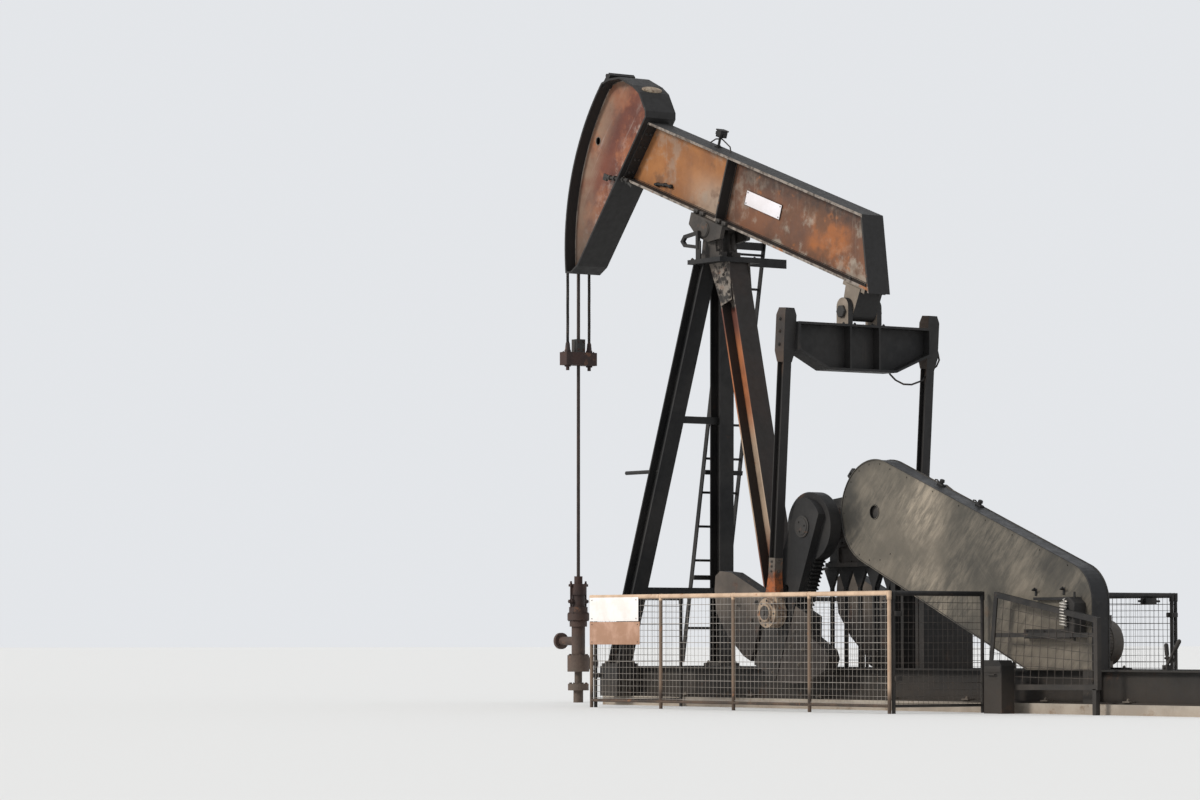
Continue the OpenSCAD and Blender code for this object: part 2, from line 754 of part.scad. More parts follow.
sleeve_low = 310;
sleeve_high = 455;
module pitman(side) {
    rise = (eq_top - wrist_z) / cos(pitman_lean());
    color("#242423") on_pitman(side) union() {
        translate([0, 0, sleeve_high]) linear_extrude(height = rise - 300 - sleeve_high)
            h_section(pitman_s, pitman_s, 8);
        intersection() {
            across(3 * cap_half) cap_profile(rise);
            rotate([0, 0, 90]) across(3 * cap_half) cap_profile(rise);
        }
    }
}

module pitman_near() {
    pitman(-1);
}

module pitman_far() {
    pitman(1);
}

wrist_r = 50;
module wrist(side) {
    house_r = 122;
    house_w = 118;
    in = pitman_s / 2;
    color("#4b4641") on_pitman(side) union() {
        translate([0, side * (house_w / 2 - in), 0]) rotate([90, 0, 0])
            cylinder(h = house_w, r = house_r, center = true);
        translate([0, side * (house_w + 10 - in), 0]) rotate([90, 0, 0])
            cylinder(h = 20, r = 74, center = true);
        across(pitman_s) polygon([[-100, 60], [-60, 200], [-in, sleeve_low], [-in, sleeve_high - seat_gap],
            [in, sleeve_high - seat_gap], [in, sleeve_low], [60, 200], [100, 60]]);
    }
}

module wrist_near() {
    wrist(-1);
}

module wrist_far() {
    wrist(1);
}

module crankshaft() {
    color("#4a4a48") translate([crank_x, 0, crank_z]) rotate([90, 0, 0])
        cylinder(h = 2 * crank_out + 20, r = crank_shaft_r, center = true);
}

pin_hole_r = 32;
module wrist_pins() {
    pin_end = pitman_y - pitman_s / 2 - 5.5;
    shoulder = crank_t + seat_gap;
    color("#4b4641") for (s = [-1, 1])
        translate([wrist_x, s * crank_in, wrist_z]) rotate([-s * 90, 0, 0]) union() {
            cylinder(h = pin_end - crank_in, r = pin_hole_r - 0.05);
            translate([0, 0, shoulder]) cylinder(h = pin_end - crank_in - shoulder, r = wrist_r);
        }
}

// Places children in the crank's own frame: X from the shaft out along the crank
module on_crank(side) {
    translate([crank_x, side * crank_mid, crank_z]) rotate([0, 90 + crank_angle, 0]) children();
}

crank_len = 1300;
module crank(side) {
    hub_r = 285;
    root = crank_half_w - 24;
    rib_half = root - 8;
    rib_end_r = 235;
    rib_t = 70;
    body_t = crank_t - rib_t;
    first = -130;
    teeth = floor((crank_len - first) / tooth_pitch) - 1;
    z0 = side > 0 ? 0 : -body_t;
    color("#1d1d1c") on_crank(side) rotate([90, 0, 0]) difference() {
        translate([0, 0, side > 0 ? crank_t / 2 - body_t : body_t - crank_t / 2]) union() {
            translate([0, 0, z0]) linear_extrude(height = body_t) union() {
                circle(r = hub_r);
                translate([0, -root]) square([crank_len, 2 * root]);
                for (e = [-1, 1], i = [0 : teeth - 1])
                    translate([first + (i + 0.5) * tooth_pitch, e * root]) polygon([[-0.3 * tooth_pitch, -e * 4],
                        [-0.16 * tooth_pitch, e * 24], [0.16 * tooth_pitch, e * 24], [0.3 * tooth_pitch, -e * 4]]);
            }
            translate([0, 0, side > 0 ? -rib_t : 0]) linear_extrude(height = rib_t) union() {
                intersection() {
                    circle(r = rib_end_r);
                    translate([-hub_r, -rib_half]) square([2 * hub_r, 2 * rib_half]);
                }
                translate([0, -rib_half]) square([crank_len, 2 * rib_half]);
            }
        }
        cylinder(h = crank_t + 20, r = crank_shaft_r + 0.05, center = true);
        for (u = [crank_r - 220, crank_r - 110, crank_r])
            translate([u, 0, 0]) cylinder(h = crank_t + 20, r = pin_hole_r, center = true);
    }
}

module crank_near() {
    crank(-1);
}

module crank_far() {
    crank(1);
}

// Outlines of the two counterweights in the crank's own frame: X out along the crank, Y square to it
weight_rear = [[629, 0], [629, 406], [787, 469], [806, 701], [856, 755], [965, 753], [1111, 604],
    [1225, 420], [1285, 250], [1285, 0]];
weight_front = [[702, 0], [704, -722], [754, -876], [817, -918], [930, -883], [1093, -791],
    [1215, -560], [1285, -300], [1285, 0]];
module weights(side) {
    edge = crank_half_w + seat_gap;
    scale_up = crank_len / 1300;
    color("#242322") on_crank(side) rotate([90, 0, 0])
        translate([0, 0, side * (crank_mid - weight_out + weight_t / 2) - weight_t / 2])
            linear_extrude(height = weight_t) difference() {
                union() {
                    polygon(scale_up * weight_rear);
                    polygon(scale_up * weight_front);
                }
                translate([0, -edge]) square([2 * crank_len, 2 * edge]);
            }
}

module weights_near() {
    weights(-1);
}

module weights_far() {
    weights(1);
}

module carrier_bar() {
    color("#4a3530") translate([-well_x, 0, carrier_z]) difference() {
        translate([-55, -170, 0]) cube([110, 340, 120]);
        translate([0, 0, -1]) cylinder(h = 122, r = rod_d / 2 + seat_gap);
    }
}

module rod_clamp() {
    color("#4a4a48") translate([-well_x, 0, carrier_z + 120]) difference() {
        translate([-45, -45, 0]) cube([90, 90, 120]);
        translate([0, 0, -1]) cylinder(h = 130, r = rod_d / 2 + seat_gap);
    }
}

module polished_rod() {
    color("silver") translate([-well_x, 0, gland_z - 60]) cylinder(h = carrier_z - gland_z + 360, r = rod_d / 2);
}

module hanging_wires() {
    color("#2b2b2b") for (s = [-1, 1])
        translate([-well_x, s * wire_gap / 2, carrier_z + 120])
            cylinder(h = pivot_h - carrier_z - 120 - seat_gap, r = wire_d / 2, $fn = 16);
}

foundation();
skid();
front_leg_near();
front_leg_far();
rear_leg();
post_cap();
post_braces();
ladder();
bearing_blocks();
hand_ring();
gearbox();
gearbox_stand();
sheave();
belt_guard();
motor();
motor_base();
switch_box();
cable_box();
brake_levers();
fence_near();
fence_far();
fence_returns();
leaning_panel();
sign_boards();
wellhead();
stuffing_box();
walking_beam();
horse_head();
center_saddle();
tail_hanger();
sensor_box();
track_wires();
equalizer_beam();
equalizer_bearing();
pitman_near();
pitman_far();
wrist_near();
wrist_far();
wrist_pins();
crankshaft();
crank_near();
crank_far();
weights_near();
weights_far();
carrier_bar();
rod_clamp();
polished_rod();
hanging_wires();
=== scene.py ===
"""Looks of a pumping unit: weathered paint, rust, mesh guards, bolts and wires on the CAD solids."""
import json
import math
import random
from itertools import product

import bmesh
import bpy
from mathutils import Matrix, Vector


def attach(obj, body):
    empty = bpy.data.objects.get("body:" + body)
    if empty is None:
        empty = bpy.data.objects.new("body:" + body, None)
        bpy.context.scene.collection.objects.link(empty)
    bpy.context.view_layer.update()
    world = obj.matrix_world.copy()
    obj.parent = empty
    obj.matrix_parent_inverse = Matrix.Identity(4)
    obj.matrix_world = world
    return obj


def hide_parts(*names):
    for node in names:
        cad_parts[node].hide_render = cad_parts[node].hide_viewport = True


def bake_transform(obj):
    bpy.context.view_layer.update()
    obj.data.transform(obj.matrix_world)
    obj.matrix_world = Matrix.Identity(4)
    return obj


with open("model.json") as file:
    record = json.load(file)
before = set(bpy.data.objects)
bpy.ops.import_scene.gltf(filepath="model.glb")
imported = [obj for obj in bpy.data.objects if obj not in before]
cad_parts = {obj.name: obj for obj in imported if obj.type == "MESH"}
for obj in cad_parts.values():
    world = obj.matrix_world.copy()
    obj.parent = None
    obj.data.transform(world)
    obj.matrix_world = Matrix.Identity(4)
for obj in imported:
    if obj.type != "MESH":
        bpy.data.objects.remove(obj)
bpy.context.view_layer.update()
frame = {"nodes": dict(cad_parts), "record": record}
NODES = frame["nodes"]
rng = random.Random(7)

# Main places of the unit in metres, where a pair is X and Z
PIVOT_H = 4.150
TILT = math.radians(19.7)
CRANK = (2.050, 1.500)
CRANK_LEAN = math.radians(23)
WRIST = (1.74914, 0.79121)
TAIL = (1.93487, 3.30639)
PITMAN_LEAN = math.atan2(TAIL[0] - WRIST[0], TAIL[1] - WRIST[1])
WELL_X = -2.147
SHEAVE = (2.740, 1.605)
MOTOR = (4.800, 0.545)
COWL_END = 0.180
PAD_TOP = 0.094
SKID_TOP = 0.340
FOOT_TOP = 0.365
GUARD_Y = -0.500
GUARD_R = 0.425
GUARD_END = 5.348
GUARD_END_R = 0.310
BEAM_TOP = 0.675
BEAM_LOW = 0.092
HEAD_R = 2.134
ROPE_Y = 0.120
CARRIER_TOP = 3.200

# Directions in the rest pose: back along the beam, square to it, and square to the head's back plate
ALONG = (math.cos(TILT), 0, -math.sin(TILT))
RISE = (math.sin(TILT), 0, math.cos(TILT))
BACK_LEAN = math.radians(20.4)
BACK = (math.cos(TILT + BACK_LEAN), 0, -math.sin(TILT + BACK_LEAN))
UP = Vector((0, 0, 1))
DOWN = Vector((0, 0, -1))
NEAR = Vector((0, -1, 0))
FAR = Vector((0, 1, 0))


# Materials
class Mat:
    """A node material with small helpers, most of which return a socket."""

    def __init__(self, name):
        self.mat = bpy.data.materials.new(name)
        self.mat.use_nodes = True
        self.t = self.mat.node_tree
        self.shader = self.t.nodes["Principled BSDF"]
        self.coord = self.node("TexCoord", {}).outputs["Object"]

    def link(self, value, socket):
        if isinstance(value, bpy.types.NodeSocket):
            self.t.links.new(value, socket)
        elif isinstance(value, tuple) and len(value) == 3 and socket.type == "RGBA":
            socket.default_value = (*value, 1)
        else:
            socket.default_value = value

    def node(self, kind, inputs, **settings):
        """A new node with its settings, and its inputs by name or number."""
        n = self.t.nodes.new("ShaderNode" + kind)
        for key, value in settings.items():
            setattr(n, key, value)
        for key, value in inputs.items():
            self.link(value, n.inputs[key])
        return n

    def scaled(self, x, y, z, lean):
        """Stretched texture space, first turned by lean about the axis across the unit."""
        turn = self.node("VectorRotate", {"Vector": self.coord, "Angle": lean}, rotation_type="Y_AXIS")
        return self.node("Mapping", {"Vector": turn.outputs["Vector"], "Scale": (x, y, z)}).outputs["Vector"]

    def noise(self, scale, detail, rough, offset, vector=None, distortion=0.0):
        values = {"W": offset, "Vector": vector or self.coord, "Scale": scale, "Detail": detail,
                  "Roughness": rough, "Distortion": distortion}
        return self.node("TexNoise", values, noise_dimensions="4D").outputs["Fac"]

    def ramp(self, fac, low, high, a=0.0, b=1.0):
        """From a at low to b at high, smoothly."""
        values = {"Value": fac, "From Min": low, "From Max": high, "To Min": a, "To Max": b}
        return self.node("MapRange", values, interpolation_type="SMOOTHSTEP").outputs["Result"]

    def cloud(self, noise, *span):
        """A noise with its contrast raised by a ramp."""
        return self.ramp(self.noise(*noise), *span)

    def mix(self, fac, a, b):
        return self.node("Mix", {"Factor": fac, 6: a, 7: b}, data_type="RGBA").outputs[2]

    def math(self, op, a, b=0.5):
        clamp = op in ("MULTIPLY", "ADD", "SUBTRACT", "MAXIMUM")
        return self.node("Math", {0: a, 1: b}, operation=op, use_clamp=clamp).outputs[0]

    def both(self, a, b):
        return self.math("MULTIPLY", a, b)

    def part(self, vector, axis):
        """One of the three numbers of a vector socket."""
        return self.node("SeparateXYZ", {0: vector}).outputs[axis]

    def vector(self, op, a, b):
        return self.node("VectorMath", {0: a, 1: b}, operation=op)

    def from_pivot(self):
        return self.vector("SUBTRACT", self.coord, (0, 0, PIVOT_H)).outputs["Vector"]

    def place(self, axis, low, high, a=0.0, b=1.0):
        """How far a point is along an axis of the rest pose, from low to high."""
        return self.ramp(self.part(self.coord, axis), low, high, a, b)

    def reach(self, direction, low, high, a=0.0, b=1.0):
        """How far a point of the rest pose is from the centre bearing along a direction, from low to high."""
        along = self.vector("DOT_PRODUCT", self.from_pivot(), direction)
        return self.ramp(along.outputs["Value"], low, high, a, b)

    def radius(self, low, high):
        """How far a point of the rest pose is from the axis of the centre bearing."""
        flat = self.vector("MULTIPLY", self.from_pivot(), (1, 0, 1)).outputs["Vector"]
        return self.ramp(self.vector("LENGTH", flat, (0, 0, 0)).outputs["Value"], low, high)

    def off_centre(self, low, high, a=0.0, b=1.0):
        """How far a point is to either side of the centreline."""
        return self.ramp(self.math("ABSOLUTE", self.part(self.coord, "Y")), low, high, a, b)

    def side(self, low=0.80, high=0.95):
        """1 on the faces that look sideways, to either side of the unit."""
        normal = self.node("NewGeometry", {}).outputs["Normal"]
        return self.ramp(self.math("ABSOLUTE", self.part(normal, "Y")), low, high)

    def done(self, color, roughness, metallic, height):
        """The finished material, with its relief from a height socket."""
        relief = self.node("Bump", {"Strength": 0.35, "Distance": 0.002, "Height": height}).outputs["Normal"]
        for key, value in (("Base Color", color), ("Roughness", roughness), ("Metallic", metallic),
                           ("Specular IOR Level", 0.3), ("Normal", relief)):
            self.link(value, self.shader.inputs[key])
        return self.mat


def weathered(name, base, tint, rust, rust_share, dust=(0.27, 0.22, 0.17), dust_share=0.35,
              streak=(0.5, 0.47, 0.43), streak_share=0.25, rough=0.6, metallic=0.0, scale=1.0,
              seed=0.0, low_dust=(0.1, 1.0), lean=0.0, side_only=False):
    """Old paint: two tones, rust patches, pale runs down the face and dust near the ground; on the weights
    the same layer is a dark painted shadow over their lower part.
    base and tint are colours, or functions that make a colour socket from the Mat.
    side_only keeps rust and runs off the faces that look fore, aft, up or down."""
    m = Mat(name)
    where = m.side() if side_only else 1.0
    base = base(m) if callable(base) else base
    tint = tint(m) if callable(tint) else tint
    broad = m.noise(1.6 * scale, 6, 0.6, seed)
    fine = m.noise(14 * scale, 8, 0.65, seed + 1)
    grain = m.noise(90, 4, 0.6, seed + 2)
    color = m.mix(m.ramp(broad, 0.40, 0.62), base, tint)
    spots = m.cloud((3.2 * scale, 10, 0.68, seed + 3), 0.66 - 0.3 * rust_share, 0.74 - 0.3 * rust_share)
    patch = m.both(m.both(spots, m.ramp(fine, 0.25, 0.6)), where)
    dark_rust = tuple(0.55 * c for c in rust)
    color = m.mix(patch, color, m.mix(m.ramp(fine, 0.4, 0.7), rust, dark_rust))
    runs = m.cloud((2.2 * scale, 8, 0.7, seed + 4, m.scaled(7, 7, 0.6, lean)), 0.56, 0.74)
    run = m.both(m.both(runs, m.ramp(broad, 0.35, 0.6, 0.2, 1.0)), where)
    color = m.mix(m.both(run, streak_share), color, streak)
    # Low layer: dust, and on the weights a dark painted shadow
    ground = m.place("Z", low_dust[0], low_dust[1], 1.0, 0.0)
    color = m.mix(m.both(m.both(ground, m.ramp(fine, 0.3, 0.7, 0.5, 1.0)), dust_share), color, dust)
    roughness = m.ramp(fine, 0.2, 0.8, rough - 0.1, min(1.0, rough + 0.18))
    return m.done(color, roughness, metallic, m.math("ADD", m.both(patch, 0.6), m.both(grain, 0.35)))


# NEAR_BLACK and BLACK also serve as painted shade on the faces that don't look sideways
BLACK = (0.012, 0.012, 0.0125)
NEAR_BLACK = (0.021, 0.020, 0.0195)


def colored(look, *colors):
    """A look with its own colours filled in."""
    return lambda m: look(m, *colors)


def toned(look, share, color):
    """A look with a share of another colour over it."""
    return lambda m: m.mix(share, look(m), color)


def head_look(m, deep, rusty):
    """Maroon side plates with a tan strip by the track, pale wear by the back plate and a grey-brown toe;
    every other face is near black as painted shade.
    """
    plate = m.mix(m.cloud((2.8, 6, 0.65, 41), 0.46, 0.60), deep, rusty)
    tan = m.both(m.radius(1.76, 2.04), m.cloud((3.5, 5, 0.6, 42), 0.36, 0.62, 0.25, 0.85))
    plate = m.mix(tan, plate, (0.25, 0.170, 0.120))
    wear = m.both(m.reach(BACK, -1.72, -1.40), m.cloud((9, 9, 0.72, 43), 0.47, 0.62))
    plate = m.mix(m.both(wear, 0.8), plate, (0.42, 0.35, 0.31))
    plate = m.mix(m.place("Z", 3.95, 4.80, 0.9, 0.0), plate, (0.085, 0.066, 0.052))
    # Near black on every face but the side plates: painted shade
    return m.mix(m.both(m.side(), m.off_centre(0.068, 0.078, 1.0, 0.0)), NEAR_BLACK, plate)


def beam_look(m, gold, brown, pale):
    """Golden web before the bearing and brown behind it, with pale and orange patches and thin worn edges;
    the faces that don't look sideways are near black as painted shade.
    """
    web = m.mix(m.reach(ALONG, 0.02, 0.10), gold, brown)
    bleached = m.both(m.reach(ALONG, -0.75, -0.10), m.reach(RISE, 0.22, 0.52, 1.0, 0.0))
    web = m.mix(m.both(bleached, m.reach(ALONG, 0.03, 0.07, 0.8, 0.0)), web, pale)
    blotch = m.cloud((3.6, 7, 0.68, 31), 0.50, 0.62)
    web = m.mix(m.both(blotch, m.reach(ALONG, 0.1, 0.9, 0.45, 0.95)), web, pale)
    glow = m.both(m.both(m.reach(ALONG, 1.15, 1.35), m.reach(ALONG, 1.70, 1.90, 1.0, 0.0)),
                  m.both(m.reach(RISE, 0.10, 0.22), m.reach(RISE, 0.44, 0.60, 1.0, 0.0)))
    glow = m.both(m.both(glow, 0.8), m.cloud((4, 5, 0.6, 33), 0.34, 0.60))
    web = m.mix(glow, web, (0.34, 0.115, 0.032))
    smudge = m.both(m.cloud((3.1, 6, 0.62, 34), 0.50, 0.64), 0.75)
    web = m.mix(smudge, web, (0.110, 0.055, 0.032))
    dark = m.both(m.reach(ALONG, 0.05, 0.25), m.reach(RISE, 0.46, 0.58))
    dark = m.both(dark, m.cloud((12, 6, 0.7, 35), 0.34, 0.60, 0.95, 0.45))
    web = m.mix(dark, web, (0.050, 0.034, 0.028))
    worn = m.cloud((16, 5, 0.65, 37), 0.42, 0.62)
    line = m.mix(worn, (0.25, 0.215, 0.185), (0.075, 0.060, 0.050))
    flange = m.math("MAXIMUM", m.reach(RISE, BEAM_TOP - 0.03, BEAM_TOP - 0.02),
                    m.reach(RISE, BEAM_LOW + 0.025, BEAM_LOW + 0.035, 1.0, 0.0))
    edge = m.mix(flange, (0.034, 0.030, 0.027), line)
    # Near black on the faces that don't look sideways: painted shade
    return m.mix(m.side(), NEAR_BLACK, m.mix(m.off_centre(0.020, 0.035), web, edge))


def leg_look(m):
    """Mottled gusset, maroon and orange below it, beige half way down and brown near the foot; the faces that
    don't look sideways are a near-black brown as painted shade.
    """
    color = m.mix(m.place("Z", 1.25, 1.65), (0.150, 0.055, 0.032), (0.33, 0.245, 0.175))
    color = m.mix(m.place("Z", 2.20, 2.65), color, (0.36, 0.125, 0.048))
    color = m.mix(m.place("Z", 3.05, 3.32), color, (0.115, 0.040, 0.028))
    spots = m.cloud((9, 7, 0.7, 51), 0.46, 0.56)
    mottled = m.mix(spots, (0.026, 0.024, 0.022), (0.19, 0.165, 0.14))
    color = m.mix(m.place("Z", 3.43, 3.47), color, mottled)
    color = m.mix(m.place("Z", 0.45, 0.80, 1.0, 0.0), color, (0.11, 0.045, 0.032))
    # Near-black brown on the faces that don't look sideways: painted shade
    return m.mix(m.side(), (0.030, 0.0255, 0.023), color)


def guard_look(m, mid, dark):
    """Bare galvanised sheet: clouds, then a painted sheen of slanting bright streaks strongest in a band, a
    painted shade band beside it, and a dark rim that is painted shade.
    """
    cloudy = m.mix(m.cloud((1.4, 4, 0.5, 61), 0.42, 0.58), mid, dark)
    # Darker band to the right of the sheen: painted shade
    shade_band = m.both(m.place("X", 3.55, 3.80), m.place("X", 4.10, 4.60, 1.0, 0.0))
    cloudy = m.mix(m.both(shade_band, 0.6), cloudy, (0.060, 0.056, 0.047))
    # Bright band and slanting bright streaks: a painted sheen
    sheen_band = m.both(m.place("X", 2.90, 3.20), m.place("X", 3.35, 3.75, 1.0, 0.0))
    sheen_streaks = m.cloud((2.2, 9, 0.75, 64, m.scaled(11, 1, 2.2, -0.75), 0.4), 0.34, 0.70)
    broad = m.cloud((1.9, 4, 0.55, 66, None, 0.5), 0.36, 0.64)
    painted_sheen = m.both(m.both(sheen_streaks, broad), m.math("ADD", 0.34, m.both(sheen_band, 0.60)))
    cloudy = m.mix(painted_sheen, cloudy, (0.37, 0.315, 0.245))
    cloudy = m.mix(m.place("Z", SKID_TOP - 0.01, SKID_TOP, 1.0, 0.0), cloudy, NEAR_BLACK)
    # Near black on the faces that don't look sideways, the rim: painted shade
    return m.mix(m.side(0.6, 0.85), (0.018, 0.018, 0.019), cloudy)


def fence_look(m):
    """Tan rails, greyer posts except the last one, and a dark foot that is painted shadow."""
    posts = m.mix(m.place("X", 3.95, 4.05), (0.17, 0.125, 0.092), (0.47, 0.335, 0.235))
    color = m.mix(m.place("Z", 0.885, 0.905), posts, (0.60, 0.435, 0.305))
    # Dark foot: painted shadow
    return m.mix(m.place("Z", 0.10, 0.22, 1.0, 0.0), color, (0.045, 0.034, 0.027))


def weight_look(m):
    """Faces darker low down and greyer towards the top of the rest pose, the dark lower part being painted
    shadow; faces that don't look sideways are black as painted shade.
    """
    # Dark lower part: painted shadow; black on the faces that don't look sideways: painted shade
    face = m.mix(m.place("Z", 0.62, 0.92), (0.024, 0.020, 0.018), (0.105, 0.086, 0.071))
    return m.mix(m.side(), BLACK, face)


def wrist_look(m):
    """Beige housing with an orange neck and a grey-beige foot of the pitman above it."""
    color = m.mix(m.place("Z", 0.90, 0.97), (0.33, 0.25, 0.18), (0.30, 0.085, 0.024))
    soot = m.both(m.cloud((11, 6, 0.7, 71), 0.46, 0.60), 0.85)
    color = m.mix(soot, color, (0.060, 0.036, 0.026))
    return m.mix(m.place("Z", 1.09, 1.16), color, (0.105, 0.088, 0.073))


def side_look(m, color):
    """A colour on the sideways faces, near black on the others as painted shade."""
    return m.mix(m.side(), NEAR_BLACK, color)


def high_look(m, color, low):
    """A colour on the sideways faces from a height up, near black elsewhere as painted shade."""
    return m.mix(m.both(m.side(), m.place("Z", low, low + 0.1)), NEAR_BLACK, color)


def sign_look(m, lower, upper):
    """One colour on the lower board and one on the upper board."""
    return m.mix(m.place("Z", 0.722, 0.726), lower, upper)


# Base, tint, rust and the share of rust of each look, then what differs from the usual weathering
LOOKS = {
    "concrete": ((0.36, 0.32, 0.27), (0.26, 0.23, 0.195), (0.24, 0.18, 0.13), 0.3,
                 dict(rough=0.85, scale=2.0, dust=(0.28, 0.21, 0.15), low_dust=(0.02, 0.1))),
    # skid_paint: near black, as painted shade
    "skid_paint": ((0.014, 0.0135, 0.013), (0.026, 0.023, 0.020), (0.070, 0.038, 0.024), 0.20,
                   dict(dust=(0.060, 0.044, 0.032), dust_share=0.4, streak=(0.075, 0.063, 0.052),
                        streak_share=0.2, low_dust=(0.08, 0.40))),
    "black_paint": (BLACK, (0.024, 0.0225, 0.0215), (0.060, 0.031, 0.019), 0.14,
                    dict(streak=(0.085, 0.072, 0.060), streak_share=0.35, dust=(0.09, 0.07, 0.052),
                         dust_share=0.25)),
    "rusty_leg": (leg_look, toned(leg_look, 0.42, (0.050, 0.030, 0.023)), (0.26, 0.10, 0.045), 0.16,
                  dict(scale=1.4, seed=3, streak=(0.40, 0.32, 0.25), streak_share=0.35, dust_share=0.1,
                       side_only=True)),
    "rusty_plate": (colored(head_look, (0.095, 0.031, 0.022), (0.21, 0.068, 0.034)),
                    colored(head_look, (0.150, 0.048, 0.029), (0.28, 0.105, 0.050)),
                    (0.30, 0.105, 0.045), 0.20,
                    dict(seed=5, scale=1.3, streak=(0.40, 0.33, 0.29), streak_share=0.5,
                         lean=-math.radians(40), side_only=True)),
    "beam_plate": (colored(beam_look, (0.32, 0.135, 0.046), (0.17, 0.074, 0.040), (0.33, 0.270, 0.215)),
                   colored(beam_look, (0.235, 0.098, 0.038), (0.11, 0.055, 0.036), (0.25, 0.210, 0.170)),
                   (0.36, 0.135, 0.045), 0.24,
                   dict(seed=9, scale=1.6, streak=(0.40, 0.33, 0.27), streak_share=0.35, side_only=True)),
    "cast_grey": ((0.030, 0.0285, 0.027), (0.060, 0.052, 0.046), (0.13, 0.07, 0.042), 0.22,
                  dict(seed=13, streak=(0.18, 0.15, 0.13), streak_share=0.3, scale=2.0)),
    "saddle_grey": ((0.062, 0.053, 0.046), (0.036, 0.032, 0.029), (0.10, 0.055, 0.034), 0.2,
                    dict(seed=15, scale=2.5, streak=(0.14, 0.12, 0.105))),
    "weld_line": ((0.30, 0.25, 0.21), (0.12, 0.085, 0.065), (0.20, 0.10, 0.055), 0.3,
                  dict(seed=16, scale=3.0)),
    "tail_grey": (colored(side_look, (0.25, 0.205, 0.165)), colored(side_look, (0.17, 0.14, 0.11)),
                  (0.16, 0.085, 0.05), 0.2, dict(seed=18, scale=3.0, side_only=True)),
    "pitman_paint": (colored(high_look, (0.062, 0.041, 0.029), 2.72), (0.024, 0.022, 0.021),
                     (0.060, 0.031, 0.019), 0.14,
                     dict(seed=21, streak=(0.085, 0.072, 0.060), side_only=True)),
    "wrist_tan": (wrist_look, toned(wrist_look, 0.35, (0.07, 0.05, 0.038)), (0.34, 0.125, 0.04), 0.25,
                  dict(seed=17, scale=3.0)),
    # On the weights the dark low dust-and-shade layer is painted shadow over their lower part
    "weight_paint": (weight_look, toned(weight_look, 0.45, (0.016, 0.015, 0.014)),
                     (0.10, 0.055, 0.038), 0.18,
                     dict(seed=19, scale=1.6, streak=(0.16, 0.135, 0.115), dust=(0.03, 0.023, 0.019),
                          dust_share=0.8, low_dust=(0.35, 0.85))),
    "cover_tan": ((0.44, 0.36, 0.265), (0.22, 0.165, 0.12), (0.14, 0.08, 0.05), 0.35,
                  dict(seed=27, scale=5.0)),
    "blank_white": ((0.76, 0.74, 0.78), (0.68, 0.65, 0.67), (0.40, 0.33, 0.30), 0.08,
                    dict(seed=29, rough=0.45, scale=2.0, dust_share=0.0)),
    "galvanised": (colored(guard_look, (0.135, 0.118, 0.094), (0.060, 0.056, 0.048)),
                   colored(guard_look, (0.100, 0.090, 0.073), (0.044, 0.042, 0.037)),
                   (0.16, 0.115, 0.08), 0.10,
                   dict(seed=23, rough=0.45, streak=(0.30, 0.26, 0.21), streak_share=0.2, metallic=0.25,
                        dust_share=0.1, lean=0.75)),
    "fence_tan": (fence_look, toned(fence_look, 0.3, (0.20, 0.12, 0.075)), (0.38, 0.17, 0.08), 0.22,
                  dict(scale=4, dust_share=0.0, streak=(0.62, 0.50, 0.40))),
    # fence_dark and dark_wire: near-black copies of the fence's tan and wire, as painted shade
    "fence_dark": (BLACK, (0.026, 0.023, 0.021), (0.08, 0.043, 0.026), 0.12,
                   dict(scale=3, streak=(0.08, 0.068, 0.056), dust_share=0.08)),
    "fence_wire": ((0.36, 0.335, 0.31), (0.24, 0.22, 0.20), (0.24, 0.14, 0.085), 0.3,
                   dict(scale=6, rough=0.45, metallic=0.4)),
    "dark_wire": ((0.034, 0.030, 0.027), (0.062, 0.051, 0.045), (0.11, 0.066, 0.043), 0.25,
                  dict(scale=6, dust_share=0.08)),
    "sign": (colored(sign_look, (0.34, 0.19, 0.12), (0.82, 0.79, 0.77)),
             colored(sign_look, (0.45, 0.27, 0.19), (0.74, 0.70, 0.66)), (0.36, 0.20, 0.12), 0.10,
             dict(rough=0.5, scale=4, streak=(0.60, 0.52, 0.45), dust_share=0.1)),
    "well_rust": ((0.050, 0.026, 0.021), (0.032, 0.021, 0.019), (0.16, 0.075, 0.042), 0.30,
                  dict(scale=3, streak=(0.12, 0.09, 0.075))),
    "rod_steel": ((0.055, 0.041, 0.035), (0.036, 0.028, 0.025), (0.12, 0.06, 0.038), 0.2,
                  dict(rough=0.35, metallic=0.4, scale=3)),
    "wire": ((0.020, 0.018, 0.017), (0.040, 0.035, 0.032), (0.08, 0.045, 0.028), 0.3,
             dict(scale=5, rough=0.5, metallic=0.4)),
    "chain": ((0.52, 0.49, 0.45), (0.36, 0.34, 0.31), (0.24, 0.14, 0.085), 0.2,
              dict(scale=6, rough=0.4, metallic=0.4, dust_share=0.0)),
    "yellow": ((0.46, 0.28, 0.07), (0.36, 0.20, 0.05), (0.24, 0.11, 0.05), 0.25, dict(scale=5)),
}
MATS = {name: weathered(name, *colors, **rest) for name, (*colors, rest) in LOOKS.items()}
# The look of each node that doesn't show its record's slot
LOOK_OF = {
    "walking_beam": "beam_plate", "center_saddle": "saddle_grey", "tail_hanger": "tail_grey",
    "equalizer_bearing": "tail_grey", "weights_near": "weight_paint", "weights_far": "weight_paint",
    "wrist_near": "wrist_tan", "wrist_far": "wrist_tan", "pitman_near": "pitman_paint",
    "pitman_far": "pitman_paint"}
# The record's slot of each look that isn't one
slot_of = {s["node"]: s["material_slot"] for s in frame["record"]["subparts"]}
for name, node in NODES.items():
    node.data.materials.clear()
    node.data.materials.append(MATS[LOOK_OF.get(name, slot_of[name])])


